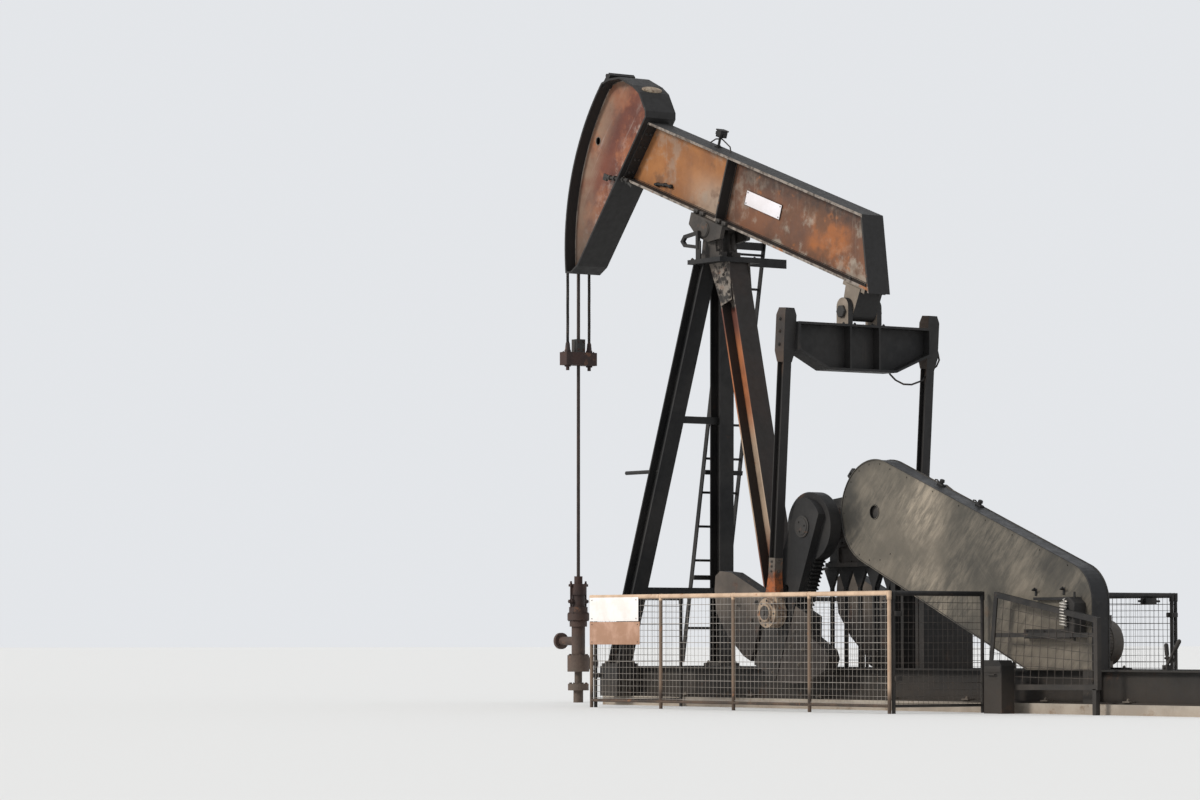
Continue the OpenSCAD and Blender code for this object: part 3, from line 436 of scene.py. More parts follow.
# Places on the moving bodies
def on_beam(s, y, t):
    """Point s behind the centre bearing along the beam and t above its axis."""
    return Vector((s * math.cos(TILT) + t * math.sin(TILT), y,
                   PIVOT_H - s * math.sin(TILT) + t * math.cos(TILT)))


def beam_dir(s, t):
    """The way that leads s back along the beam and t up from its axis."""
    return on_beam(s, 0, t) - on_beam(0, 0, 0)


def on_crank(side, u, v, y):
    """Point u out along the crank and v square to it."""
    c, s = math.cos(CRANK_LEAN), math.sin(CRANK_LEAN)
    return Vector((CRANK[0] - s * u + c * v, side * y, CRANK[1] - c * u - s * v))


def on_pitman(side, a, y, h):
    """Point h up the pitman from the wrist pin and a square to it."""
    c, s = math.cos(PITMAN_LEAN), math.sin(PITMAN_LEAN)
    return Vector((WRIST[0] + a * c + h * s, side * y, WRIST[1] - a * s + h * c))


# Mesh helpers
def around(k, n, r=1.0):
    """Point k of n round a circle."""
    w = 2 * math.pi * k / n
    return r * math.cos(w), r * math.sin(w)


def arc(cx, cz, r, n=64):
    """Points round a circle in X and Z, to a hundredth of a millimetre."""
    return [(round(cx + u, 5), round(cz + v, 5)) for u, v in (around(k, n, r) for k in range(n))]


def turned(axis):
    """Rotation that takes +Z to the given axis."""
    return Vector(axis).normalized().to_track_quat("Z", "Y").to_matrix().to_4x4()


def skin(bm, rings, closed=False):
    """Faces through rings of points, which close on themselves or end in two flat caps."""
    rings = [[bm.verts.new(p) for p in ring] for ring in rings]
    for a, b in zip(rings, rings[1:] + rings[:1] if closed else rings[1:]):
        for k in range(len(a)):
            j = (k + 1) % len(a)
            bm.faces.new((a[k], a[j], b[j], b[k]))
    if not closed:
        bm.faces.new(rings[0][::-1])
        bm.faces.new(rings[-1])


def tube(bm, points, r, n, closed=False):
    """A round bar along a path, mitred at its corners."""
    pts = [Vector(p) for p in points]
    last = len(pts) - 1
    rings = []
    up = None
    for i, p in enumerate(pts):
        before = pts[i - 1] if i or closed else None
        after = pts[(i + 1) % len(pts)] if i < last or closed else None
        d_in = (p - before).normalized() if before is not None else (after - p).normalized()
        d_out = (after - p).normalized() if after is not None else d_in
        d = (d_in + d_out).normalized()
        up = d.orthogonal().normalized() if up is None else up
        up = (up - d * up.dot(d)).normalized()
        right = d.cross(up)
        wide = 1 / max(0.35, d.dot(d_in))
        bend = d_out - d_in
        bend = (bend - d * bend.dot(d))
        bend = bend.normalized() if bend.length > 1e-6 else None
        ring = []
        for u, v in (around(k, n) for k in range(n)):
            out = r * (u * up + v * right)
            if bend is not None:
                out += bend * out.dot(bend) * (wide - 1)
            ring.append(p + out)
        rings.append(ring)
    skin(bm, rings, closed)


def hoop(bm, centre, y, r, bar, n=36, sides=6):
    """A thin bar bent into a circle that faces across the unit."""
    tube(bm, [(x, y, z) for x, z in arc(*centre, r, n)], bar, sides, closed=True)


def turning(bm, origin, axis, profile, n):
    """A turned piece: the profile lists (height, radius) along the axis, closed at both ends."""
    m = Matrix.Translation(Vector(origin)) @ turned(axis)
    skin(bm, [[m @ Vector((*around(k, n, r), h)) for k in range(n)] for h, r in profile])


def bolt(bm, origin, axis, d, washer=True, stud=True):
    """A hexagon bolt head with a chamfer, its washer and the end of its thread, standing on the origin."""
    base = 0.15 * d if washer else 0.0
    if washer:
        turning(bm, origin, axis, [(-0.1 * d, 1.05 * d), (base, 1.05 * d)], 14)
    spin = math.radians(rng.uniform(0, 60))
    m = Matrix.Translation(Vector(origin)) @ turned(axis) @ Matrix.Rotation(spin, 4, "Z")
    head = [(base, 0.9 * d), (base + 0.55 * d, 0.9 * d), (base + 0.7 * d, 0.78 * d)]
    skin(bm, [[m @ Vector((*around(k, 6, r), h)) for k in range(6)] for h, r in head])
    if stud:
        turning(bm, Vector(origin) + Vector(axis).normalized() * (base + 0.6 * d), axis,
                [(0, 0.45 * d), (0.4 * d, 0.45 * d), (0.5 * d, 0.36 * d)], 8)


def screw(bm, origin, axis, d):
    """A bolt head alone."""
    bolt(bm, origin, axis, d, washer=False, stud=False)


def rows(make, bm, xs, ys, zs, axis, d):
    """Bolts or screws at each mix of the given places."""
    for place in product(xs, ys, zs):
        make(bm, place, axis, d)


def block(bm, lo, hi, edge=0.003, matrix=None):
    """A bar or plate with its edges eased."""
    lo, hi = Vector(lo), Vector(hi)
    made = bmesh.ops.create_cube(bm, size=1.0)["verts"]
    for v in made:
        v.co = [(c + 0.5) * (b - a) + a for c, a, b in zip(v.co, lo, hi)]
    edges = list({e for v in made for e in v.link_edges})
    out = bmesh.ops.bevel(bm, geom=edges, offset=edge, segments=2, profile=0.5, affect="EDGES")
    if matrix is not None:
        seen = {v for f in out["faces"] for v in f.verts} | {v for v in made if v.is_valid}
        bmesh.ops.transform(bm, matrix=matrix, verts=list(seen))


def slab(bm, outline, y0, y1):
    """A plate cut to an outline in X and Z, between two distances across the unit."""
    a = [bm.verts.new((x, y0, z)) for x, z in outline]
    b = [bm.verts.new((x, y1, z)) for x, z in outline]
    bm.faces.new(a)
    bm.faces.new(b[::-1])
    for i in range(len(a)):
        j = (i + 1) % len(a)
        bm.faces.new((a[i], b[i], b[j], a[j]))


def wire(bm, a, b, r, bow=0.0015):
    """A mesh wire, not quite straight."""
    a, b = Vector(a), Vector(b)
    middle = []
    for k in (1, 2, 3):
        jitter = Vector((rng.uniform(-bow, bow), rng.uniform(-bow, bow), rng.uniform(-bow, bow)))
        middle.append(a.lerp(b, k / 4) + jitter)
    tube(bm, [a, *middle, b], r, 5)


def rope(bm, path, r, turn0=0.0):
    """Wire rope: six strands twisted round a core, along a path of close points."""
    pitch = 0.12
    strands = 6
    pts = [Vector(p) for p in path]
    tube(bm, pts, 0.45 * r, 6)
    lengths = [0.0]
    for a, b in zip(pts, pts[1:]):
        lengths.append(lengths[-1] + (b - a).length)
    up = (pts[1] - pts[0]).normalized().orthogonal().normalized()
    frames = []
    for i, p in enumerate(pts):
        d = (pts[min(i + 1, len(pts) - 1)] - pts[max(i - 1, 0)]).normalized()
        up = (up - d * up.dot(d)).normalized()
        frames.append((p, up, d.cross(up)))
    for s in range(strands):
        line = []
        for (p, u, v), length in zip(frames, lengths):
            w = 2 * math.pi * (s / strands + length / pitch) + turn0
            line.append(p + 0.64 * r * (math.cos(w) * u + math.sin(w) * v))
        tube(bm, line, 0.36 * r, 5)


def piece(name, bm, look, body, stands_for=()):
    """An object from the mesh, with its look, body and slot, in place of the nodes that it stands for."""
    mesh = bpy.data.meshes.new(name)
    bmesh.ops.recalc_face_normals(bm, faces=bm.faces)
    bm.to_mesh(mesh)
    bm.free()
    mesh.polygons.foreach_set("use_smooth", [True] * len(mesh.polygons))
    mesh.set_sharp_from_angle(angle=math.radians(32))
    mesh.materials.append(MATS[look])
    obj = bpy.data.objects.new(name, mesh)
    bpy.context.scene.collection.objects.link(obj)
    if body is not None:
        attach(obj, body)
    if stands_for:
        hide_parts(*stands_for)
    return obj


# Guard fences
FENCE_X = (0.180, 4.140)
FENCE_Y = 1.500
RETURN_Y = 1.4577
RETURN_LEN = 0.898
RAIL_R = 0.019
POST_R = 0.015
FOOT_R = 0.012
RAIL_TOP = 0.929
RAIL_LOW = 0.06
WELDS = ((0, 0.0019), (0.005, 0.0014), (0.010, 0))


def fence_frame(bm, at, along, length, bays):
    """Top rail bent down at its ends, foot rail and posts, with a weld where each rail meets a post."""
    at, along = Vector(at), Vector(along)
    end = at + along * length
    tube(bm, [at + UP * (RAIL_TOP - 0.05), at + UP * RAIL_TOP, end + UP * RAIL_TOP,
              end + UP * (RAIL_TOP - 0.05)], RAIL_R, 14)
    tube(bm, [at + UP * RAIL_LOW, end + UP * RAIL_LOW], FOOT_R, 14)
    posts = [at + along * (length * i / bays) for i in range(bays + 1)]
    for p in posts:
        tube(bm, [p, p + UP * (RAIL_TOP - 0.01)], POST_R, 14)
    for i, p in enumerate(posts):
        for (z, r), s in product(((RAIL_LOW, FOOT_R), (RAIL_TOP, RAIL_R)), (-1, 1)):
            if 0 <= i + s <= bays:
                turning(bm, p + UP * z + along * (s * (POST_R - 0.004)), along * s,
                        [(h, r + proud) for h, proud in WELDS], 12)


def fence_mesh(bm, at, along, length):
    """Welded mesh: level wires with each third one heavier, and upright wires behind them."""
    pitch, thin, heavy, apart = 0.05, 0.0013, 0.0024, 0.002
    at, along = Vector(at), Vector(along)
    side = along.cross(UP) * apart
    rows_up = int((RAIL_TOP - 0.10) / pitch)
    for k in range(rows_up + 1):
        p = at + UP * (0.08 + k * (RAIL_TOP - 0.10) / rows_up) + side
        wire(bm, p, p + along * length, thin if k % 3 else heavy)
    columns = round(length / pitch)
    for k in range(1, columns):
        p = at + along * (length * k / columns) - side
        wire(bm, p + UP * RAIL_LOW, p + UP * RAIL_TOP, thin)


# The far fence takes the dark copies of the fence colours, as painted shade
for name, side, look, mesh_look in (("fence_near", -1, "fence_tan", "fence_wire"),
                                    ("fence_far", 1, "fence_dark", "dark_wire")):
    panel = ((FENCE_X[0], side * FENCE_Y, 0), (1, 0, 0), FENCE_X[1] - FENCE_X[0])
    bm = bmesh.new()
    fence_frame(bm, *panel, 4)
    piece(name + "_frame", bm, look, "frame", [name])
    bm = bmesh.new()
    fence_mesh(bm, *panel)
    piece(name + "_mesh", bm, mesh_look, "frame")

# Return panels between the long fences and the skid, with the bar at each foot and two clips on each post, in
# the dark fence colours as painted shade
bm = bmesh.new()
mesh = bmesh.new()
for side, x in product((-1, 1), FENCE_X):
    start = (x, side * RETURN_Y, 0)
    fence_frame(bm, start, (0, -side, 0), RETURN_LEN, 1)
    fence_mesh(mesh, start, (0, -side, 0), RETURN_LEN)
    y0, y1 = sorted((side * 0.4755, side * 0.5597))
    block(bm, (x - 0.03, y0, SKID_TOP - 0.014), (x + 0.03, y1, SKID_TOP))
    for z in (0.25, 0.75):
        block(bm, (x - 0.035, side * 1.447 - 0.02, z), (x + 0.035, side * 1.447 + 0.05, z + 0.04), 0.006)
piece("fence_returns_frame", bm, "fence_dark", "frame", ["fence_returns"])
piece("fence_returns_mesh", mesh, "dark_wire", "frame")

bm = bmesh.new()
block(bm, (4.10, 1.15, 0.855), (4.17, 1.27, 0.905), 0.006)
tube(bm, [(4.135, 1.10, 0.88), (4.135, 1.33, 0.88)], 0.009, 8)
piece("return_latch", bm, "fence_dark", "frame")


def drawn_in(before, p, after, t, left=1):
    """Corner p of an outline moved in by t from both of its edges."""
    m, k = Vector((left * -before.y, left * before.x)), Vector((left * -after.y, left * after.x))
    return p + t * (m + k) / (1 + m.dot(k))


def inset(c, t):
    """A clockwise outline drawn in by t."""
    out = []
    for i, p in enumerate(c):
        a, p, b = Vector(c[i - 1]), Vector(p), Vector(c[(i + 1) % len(c)])
        out.append(drawn_in((p - a).normalized(), p, (b - p).normalized(), t, -1))
    return out


# The loose guard panel that leans by the motor: an angle-iron frame with wide mesh and a middle rail
corners = [(4.390, 0.940), (5.570, 0.735), (5.570, 0.190), (4.300, 0.180)]
panel_y = -0.6316
front, back = panel_y - 0.021, panel_y + 0.021
inner = inset(corners, 0.042)
lip = inset(corners, 0.006)
bm = bmesh.new()
for i in range(4):
    j = (i + 1) % 4
    slab(bm, [corners[i], corners[j], tuple(inner[j]), tuple(inner[i])], front, panel_y - 0.014)
    slab(bm, [corners[i], corners[j], tuple(lip[j]), tuple(lip[i])], panel_y - 0.014, back)
block(bm, (5.510, front, 0), (5.552, back, 0.20))
block(bm, (4.318, front, 0), (4.360, back, 0.19))
slab(bm, [(4.345, 0.622), (5.535, 0.622), (5.535, 0.588), (4.345, 0.588)], panel_y - 0.010, panel_y - 0.003)
piece("leaning_panel_frame", bm, "fence_dark", "frame", ["leaning_panel"])
bm = bmesh.new()
q = [Vector((p.x, panel_y - 0.012, p.y)) for p in inset(corners, 0.02)]
for k in range(1, 8):
    wire(bm, q[0].lerp(q[3], k / 8), q[1].lerp(q[2], k / 8), 0.0024, 0.004)
for k in range(1, 13):
    wire(bm, q[0].lerp(q[1], k / 13), q[3].lerp(q[2], k / 13), 0.0024, 0.004)
piece("leaning_panel_mesh", bm, "dark_wire", "frame")

# Two blank sign boards of thin sheet on the near fence, with a flat bolt in each corner
SIGN_BACK = -FENCE_Y - RAIL_R - 0.0002
SIGN_FACE = SIGN_BACK - 0.0016
plates = bmesh.new()
bm = bmesh.new()
for length, z0, z1 in ((0.700, 0.725, 0.925), (0.720, 0.530, 0.720)):
    x1 = FENCE_X[0] + length
    block(plates, (FENCE_X[0], SIGN_FACE, z0), (x1, SIGN_BACK, z1), 0.0006)
    for z, x in product((z0 + 0.022, z1 - 0.022), (FENCE_X[0] + 0.035, x1 - 0.030)):
        screw(bm, (x, SIGN_FACE, z), NEAR, 0.0056)
piece("sign_plates", plates, "sign", "frame", ["sign_boards"])
piece("sign_bolts", bm, "cast_grey", "frame")


# Belt guard
def convex(points):
    """The outline round a set of points."""
    points = sorted(set(points))

    def half(pts):
        out = []
        for p in pts:
            while len(out) > 1 and ((out[-1][0] - out[-2][0]) * (p[1] - out[-2][1])
                                    - (out[-1][1] - out[-2][1]) * (p[0] - out[-2][0])) <= 0:
                out.pop()
            out.append(p)
        return out[:-1]
    return half(points) + half(points[::-1])


guard_line = convex(arc(*SHEAVE, GUARD_R) + arc(GUARD_END - GUARD_END_R, 0.850, GUARD_END_R)
                    + [(4.600, SKID_TOP), (GUARD_END, SKID_TOP)])
bm = bmesh.new()
for y in (GUARD_Y - 0.001, GUARD_Y + 0.171):
    tube(bm, [(x, y, z) for x, z in guard_line], 0.0065, 6, closed=True)
hoop(bm, SHEAVE, GUARD_Y - 0.001, 0.058, 0.0045, 32)
piece("guard_beads", bm, "galvanised", "frame")

# The guard's top line runs down at this slope from where it leaves the arc round the sheave
TOP_LEAN = math.radians(20.9)


def guard_top(x):
    dx, dz = GUARD_R * math.sin(TOP_LEAN), GUARD_R * math.cos(TOP_LEAN)
    return SHEAVE[1] + dz - (x - SHEAVE[0] - dx) * math.tan(TOP_LEAN)


# Toggle latches on the far edge of the rim, a lifting lug on its round end and two hooks on the face
bm = bmesh.new()
for x in (3.409, 3.875):
    m = Matrix.Translation((x, GUARD_Y + 0.145, guard_top(x))) @ Matrix.Rotation(TOP_LEAN, 4, "Y")
    block(bm, (-0.035, -0.02, -0.004), (0.035, 0.02, 0.014), 0.004, m)
    turning(bm, m @ Vector((0, 0, 0.010)), m.to_3x3() @ UP,
            [(0, 0.014), (0.012, 0.014), (0.016, 0.021), (0.034, 0.021), (0.040, 0.014)], 12)
    tube(bm, [m @ Vector(p) for p in ((-0.03, 0, 0.014), (-0.06, 0, 0.026), (-0.085, 0, 0.020))], 0.006, 8)
m = Matrix.Translation((2.438, GUARD_Y + 0.03, 1.907)) @ Matrix.Rotation(-math.radians(45), 4, "Y")
block(bm, (-0.045, -0.018, -0.006), (0.045, 0.018, 0.050), 0.005, m)
bolt(bm, m @ Vector((0, -0.018, 0.028)), NEAR, 0.012)
for x, z in ((4.709, 0.952), (5.031, 0.957)):
    block(bm, (x - 0.012, GUARD_Y - 0.006, z - 0.045), (x + 0.012, GUARD_Y + 0.002, z + 0.012), 0.002)
    tube(bm, [(x, GUARD_Y - 0.004, z), (x, GUARD_Y - 0.035, z), (x + 0.035, GUARD_Y - 0.045, z + 0.012)],
         0.008, 8)
piece("guard_latches", bm, "black_paint", "frame")

bm = bmesh.new()
for x, z in arc(*SHEAVE, GUARD_R - 0.030, 18):
    if x < 2.95:
        screw(bm, (x, GUARD_Y, z), NEAR, 0.007)
for x in (3.15 + 0.32 * k for k in range(7)):
    screw(bm, (x, GUARD_Y, guard_top(x) - 0.03), NEAR, 0.007)
piece("guard_screws", bm, "galvanised", "frame")

# Motor: cooling fins round its barrel, the fan's grille, a lifting eye and bolts
bm = bmesh.new()
fins = 44
for k in range(fins):
    m = Matrix.Translation((MOTOR[0], 0, MOTOR[1])) @ Matrix.Rotation(2 * math.pi * k / fins, 4, "Y")
    block(bm, (0.176, -0.252, -0.002), (0.188, 0.048, 0.002), 0.0008, m)
for r in (0.04, 0.075, 0.11, 0.145):
    hoop(bm, MOTOR, COWL_END + 0.004, r, 0.0035)
for c, s in (around(k, 8) for k in range(8)):
    tube(bm, [(MOTOR[0] + r * c, COWL_END + 0.002, MOTOR[1] + r * s) for r in (0.03, 0.155)], 0.003, 6)
hoop(bm, (MOTOR[0], MOTOR[1] + 0.212), -0.10, 0.022, 0.007, 16, 8)
for make, xs, ys, z, d in (
        (screw, (0.015, 0.155), (-0.109, 0.031), MOTOR[1] + 0.215, 0.006),
        (bolt, (-0.14, 0.14), (-0.225, 0.020), 0.405, 0.012),
        (bolt, (-0.29, 0.33), (-0.225, 0.025), 0.355, 0.013)):
    rows(make, bm, [MOTOR[0] + x for x in xs], ys, (z,), UP, d)
piece("motor_fins", bm, "cast_grey", "frame")

# The fan's cowl over the motor's far end, with four screws round its skirt
bm = bmesh.new()
cowl = 0.052
turning(bm, (MOTOR[0], cowl, MOTOR[1]), FAR,
        [(0, 0.180), (0.003, 0.186), (0.090, 0.186), (0.112, 0.178), (0.124, 0.162),
         (COWL_END - cowl, 0.150)], 48)
for c, s in (around(k + 0.5, 4) for k in range(4)):
    out = Vector((c, 0, s))
    screw(bm, Vector((MOTOR[0], cowl + 0.020, MOTOR[1])) + 0.185 * out, out, 0.007)
piece("motor_cowl", bm, "cast_grey", "frame")

# A chain hangs in loops at the near edge of the switch box
bm = bmesh.new()
coil = []
for k in range(100):
    c, s = around(k, 12)
    coil.append((5.172 + 0.030 * c, -0.636 + 0.020 * s, 0.862 - 0.0019 * k))
tube(bm, coil, 0.0060, 6)
tube(bm, [(5.172, -0.618, 0.880), (5.172, -0.636, 0.874), (5.190, -0.636, 0.862)], 0.005, 6)
piece("chain_coil", bm, "chain", "frame")

# Switch box: door seal, hinges, lock and the conduit that stands up through it, and the cable box's latch
bm = bmesh.new()
box_face = -0.6103
door = ((5.158, 0.610), (5.158, 0.886), (5.208, 0.886), (5.266, 0.842), (5.266, 0.610))
tube(bm, [(x, box_face, z) for x, z in door], 0.004, 6, closed=True)
for z in (0.64, 0.80):
    tube(bm, [(5.270, box_face - 0.004, z - 0.02), (5.270, box_face - 0.004, z + 0.02)], 0.007, 8)
screw(bm, (5.225, box_face, 0.73), NEAR, 0.010)
for z0, z1 in ((0.868, 0.935), (0.560, 0.600)):
    tube(bm, [(5.215, -0.560, z0), (5.215, -0.560, z1)], 0.009, 10)
rows(screw, bm, (4.66, 4.86, 5.06), (-0.5503,), (0.592, 0.636), NEAR, 0.007)
block(bm, (4.424, -0.7865, 0.316), (4.615, -0.7825, 0.366), 0.0015)
tube(bm, [(x, y, 0.30) for x, y in ((4.480, -0.784), (4.480, -0.805), (4.560, -0.805), (4.560, -0.784))],
     0.005, 8)
piece("box_trim", bm, "black_paint", "frame")

bm = bmesh.new()
turning(bm, (5.640, -0.300, PAD_TOP), UP,
        [(0, 0.088), (0.05, 0.088), (0.085, 0.078), (0.112, 0.055), (0.128, 0.022), (0.131, 0.003)], 32)
piece("yellow_dome", bm, "yellow", "frame")

# Brake levers: grips, latch rods and pins, and the toothed quadrant
bm = bmesh.new()
for low, high in (((6.075, -0.425, 0.36), (6.225, -0.425, 0.565)),
                  ((6.045, -0.375, 0.36), (6.025, -0.375, 0.54))):
    low, high = Vector(low), Vector(high)
    d = (high - low).normalized()
    turning(bm, high - d * 0.09, d, [(0, 0.013), (0.008, 0.017), (0.080, 0.017), (0.092, 0.011)], 14)
    tube(bm, [low + d * 0.03 + Vector((0.02, -0.016, 0)), low + d * 0.17 + Vector((0.012, -0.016, 0))],
         0.006, 8)
    bolt(bm, low + Vector((0, -0.012, 0)), NEAR, 0.013)
for k in range(9):
    c, s = around(3 + k, 36, 0.10)
    x, z = 6.075 + c, 0.335 + s
    block(bm, (x - 0.006, -0.405, z - 0.006), (x + 0.006, -0.393, z + 0.010), 0.002)
piece("brake_parts", bm, "black_paint", "frame")

# Clamps and bolts along the skid, at the post's feet and round its cap
bm = bmesh.new()
for side in (-1, 1):
    for x in (-0.80 + 0.93 * k for k in range(9)):
        top = PAD_TOP + 0.012
        block(bm, (x - 0.04, side * 0.462 - 0.035, PAD_TOP), (x + 0.04, side * 0.462 + 0.035, top), 0.003)
        bolt(bm, (x, side * 0.470, top), UP, 0.016)
        bolt(bm, (x, side * 0.350, PAD_TOP), UP, 0.016)
for side in (-1, 1):
    rows(bolt, bm, (-0.81, -0.63), (side * 0.56 - 0.08, side * 0.56 + 0.08), (FOOT_TOP,), UP, 0.018)
rows(bolt, bm, (0.905, 1.135), (-0.115, 0.115), (FOOT_TOP,), UP, 0.020)
for x, y in ((-0.150, -0.185), (-0.150, 0.150), (0.262, -0.185), (0.262, 0.185)):
    bolt(bm, (x, y, 3.890), UP, 0.016)
gusset = ((0.242, 3.782), (0.211, 3.742), (0.125, 3.686), (0.260, 3.676), (0.152, 3.592), (0.283, 3.588),
          (0.298, 3.540))
for side in (-1, 1):
    for x, z in gusset:
        bolt(bm, (x, side * 0.1135, z), (0, side, 0), 0.014)
piece("skid_and_post_bolts", bm, "cast_grey", "frame")

bm = bmesh.new()
for y in (-0.075, 0.075):
    rows(bolt, bm, (-0.131, 0.131), (y,), (3.950,), UP, 0.014)
    for x in (-0.094, 0.094):
        turning(bm, (x, y, 3.975), UP, [(0, 0.024), (0.11, 0.020), (0.125, 0.016)], 16)
        bolt(bm, (x, y, 4.100), UP, 0.014)
    turning(bm, (0, y, 4.226), UP,
            [(0, 0.011), (0.012, 0.011), (0.016, 0.006), (0.026, 0.006), (0.030, 0.003)], 10)
piece("bearing_bolts", bm, "cast_grey", "frame")

# A weld at each end of the ladder's rungs
bm = bmesh.new()
rung_pitch = 0.305
lean = math.atan2(0.635, 3.485)
for i in range(1, 12):
    x = -0.840 + math.sin(lean) * rung_pitch * i
    z = 0.375 + math.cos(lean) * rung_pitch * i
    for y, d in ((0.221, 1), (0.615, -1)):
        turning(bm, (x, y - 0.002 * d, z), (0, d, 0), [(0, 0.017), (0.004, 0.015), (0.009, 0.011)], 12)
piece("rung_welds", bm, "black_paint", "frame")

# Gearbox: bolts of its joints, bearings and sheave, and the inspection lid with its breather
bm = bmesh.new()
for side in (-1, 1):
    y = side * 0.281
    for x in (1.715 + 0.128 * k for k in range(11)):
        bolt(bm, (x, y, 1.518), UP, 0.0095, stud=False)
        bolt(bm, (x, y, 1.482), DOWN, 0.0095)
    for x in (1.875 + 0.142 * k for k in range(9)):
        bolt(bm, (x, side * 0.280, 1.208), UP, 0.0095)
    for x, z in arc(*CRANK, 0.140, 10):
        bolt(bm, (x, side * 0.320, z), (0, side, 0), 0.011)
for x, z in arc(*SHEAVE, 0.088, 8):
    bolt(bm, (x, 0.290, z), FAR, 0.009)
slope = math.atan2(0.085, 0.61)
lid = Matrix.Translation((2.435, 0, 1.8025)) @ Matrix.Rotation(-slope, 4, "Y")
block(bm, (-0.20, -0.17, -0.004), (0.20, 0.17, 0.014), 0.005, lid)
block(bm, (-0.17, -0.14, 0.012), (0.17, 0.14, 0.022), 0.005, lid)
for u, v in product((-0.18, -0.06, 0.06, 0.18), (-0.155, 0.155)):
    bolt(bm, lid @ Vector((u, v, 0.014)), lid.to_3x3() @ UP, 0.008)
turning(bm, lid @ Vector((0.10, 0.06, 0.02)), UP,
        [(0, 0.016), (0.04, 0.016), (0.045, 0.030), (0.085, 0.030), (0.097, 0.018)], 20)
piece("gearbox_bolts", bm, "cast_grey", "frame")

# Wellhead: flange bolts, the stuffing box's tie rods, clamps and lubricator ports, and the valve's wheel
bm = bmesh.new()


def on_well(x, y, z):
    return Vector((WELL_X + x, y, z))


flange_bolts = 8
for z, r in ((0.170, 0.078), (0.430, 0.082)):
    for k in range(flange_bolts):
        bolt(bm, on_well(*around(k + 0.5, flange_bolts, r), z), UP, 0.010)
for k in range(flange_bolts):
    c, s = around(k + 0.5, flange_bolts, 0.090)
    bolt(bm, on_well(c, s, 0.810), UP, 0.0085)
    bolt(bm, on_well(c, s, 0.750), DOWN, 0.0085)
for s in (-1, 1):
    tube(bm, [on_well(0, 0.082 * s, 0.86), on_well(0, 0.082 * s, 1.105)], 0.009, 10)
    y0, y1 = sorted((0.03 * s, 0.098 * s))
    block(bm, (WELL_X - 0.02, y0, 1.055), (WELL_X + 0.02, y1, 1.078), 0.004)
    bolt(bm, on_well(0, 0.082 * s, 1.078), UP, 0.013)
    turning(bm, on_well(0, 0.055 * s, 0.92), (0, s, 0),
            [(0, 0.026), (0.03, 0.026), (0.034, 0.018), (0.05, 0.018)], 6)
valve_z, wheel_y, wheel_r = 0.355, 0.165, 0.070
turning(bm, on_well(0, 0.095, valve_z), FAR,
        [(0, 0.040), (0.02, 0.040), (0.024, 0.022), (0.07, 0.022)], 20)
hoop(bm, (WELL_X, valve_z), wheel_y, wheel_r, 0.007, 28, 8)
for c, s in (around(k, 4, wheel_r) for k in range(4)):
    tube(bm, [on_well(0, wheel_y, valve_z), on_well(c, wheel_y, valve_z + s)], 0.005, 8)
piece("wellhead_fittings", bm, "well_rust", "frame")


# Horse head, in the beam's frame
def head_point(r, a):
    a = math.radians(a)
    return Vector((-r * math.cos(a), r * math.sin(a)))


def head_back(t):
    """Back of the head at a height t above the pivot axis."""
    return -(HEAD_R - 0.685) + t * math.tan(BACK_LEAN)


def head_line(t):
    """Outline of the head's side plate, drawn in by t from the outer faces."""
    low, toe = head_point(HEAD_R, -25.9), head_point(HEAD_R - 0.080, -26.4)
    high = head_point(HEAD_R, 23.5)
    knee_t, heel_t = 0.720, -0.382 * HEAD_R
    knee = Vector((head_back(knee_t), knee_t))
    crown = ((-0.019, 0.058), (-0.174, 0.192), (-0.289, 0.227), (-0.519, 0.248), (-0.679, 0.192))
    c = [low + 2 * (low - toe), toe, Vector((head_back(heel_t), heel_t)), knee]
    c += [knee + Vector(step) for step in crown]
    c.append(high + 4 * (high - c[-1]))
    moved = []
    for i, p in enumerate(c):
        d0 = (p - c[i - 1]).normalized() if i else (c[1] - c[0]).normalized()
        d1 = (c[i + 1] - p).normalized() if i < len(c) - 1 else d0
        moved.append(drawn_in(d0, p, d1, t))
    r = HEAD_R - t

    def cut(a, b):
        """Where the way from a to b crosses the track's circle, by halving."""
        f = 0.0
        step = 0.5
        inside = a.length < r
        for _ in range(40):
            if (a.lerp(b, f + step).length < r) == inside:
                f += step
            step /= 2
        return a.lerp(b, f)
    first, last = cut(moved[0], moved[1]), cut(moved[-2], moved[-1])
    a0, a1 = (math.degrees(math.atan2(p.y, -p.x)) for p in (last, first))
    return [first, *moved[1:-1], last] + [head_point(r, a0 + (a1 - a0) * k / 40) for k in range(1, 40)]


bm = bmesh.new()
for side in (-1, 1):
    tube(bm, [on_beam(p.x, side * 0.0565, p.y) for p in head_line(0.022)], 0.0050, 6, closed=True)
    c = head_point(HEAD_R - 0.136, 8.9)
    ring = [around(k, 24, 0.038) for k in range(24)]
    tube(bm, [on_beam(c.x + u, side * 0.0555, c.y + v) for u, v in ring], 0.004, 6, closed=True)
piece("head_welds", bm, "weld_line", "beam")

# Bolts of the head's back plate, and the locking bars between head and beam
to_beam = Matrix.Translation((0, 0, PIVOT_H)) @ Matrix.Rotation(TILT, 4, "Y")


def at_beam(s, y, t):
    """Placement of a block on the beam."""
    return Matrix.Translation(on_beam(s, y, t)) @ Matrix.Rotation(TILT, 4, "Y")


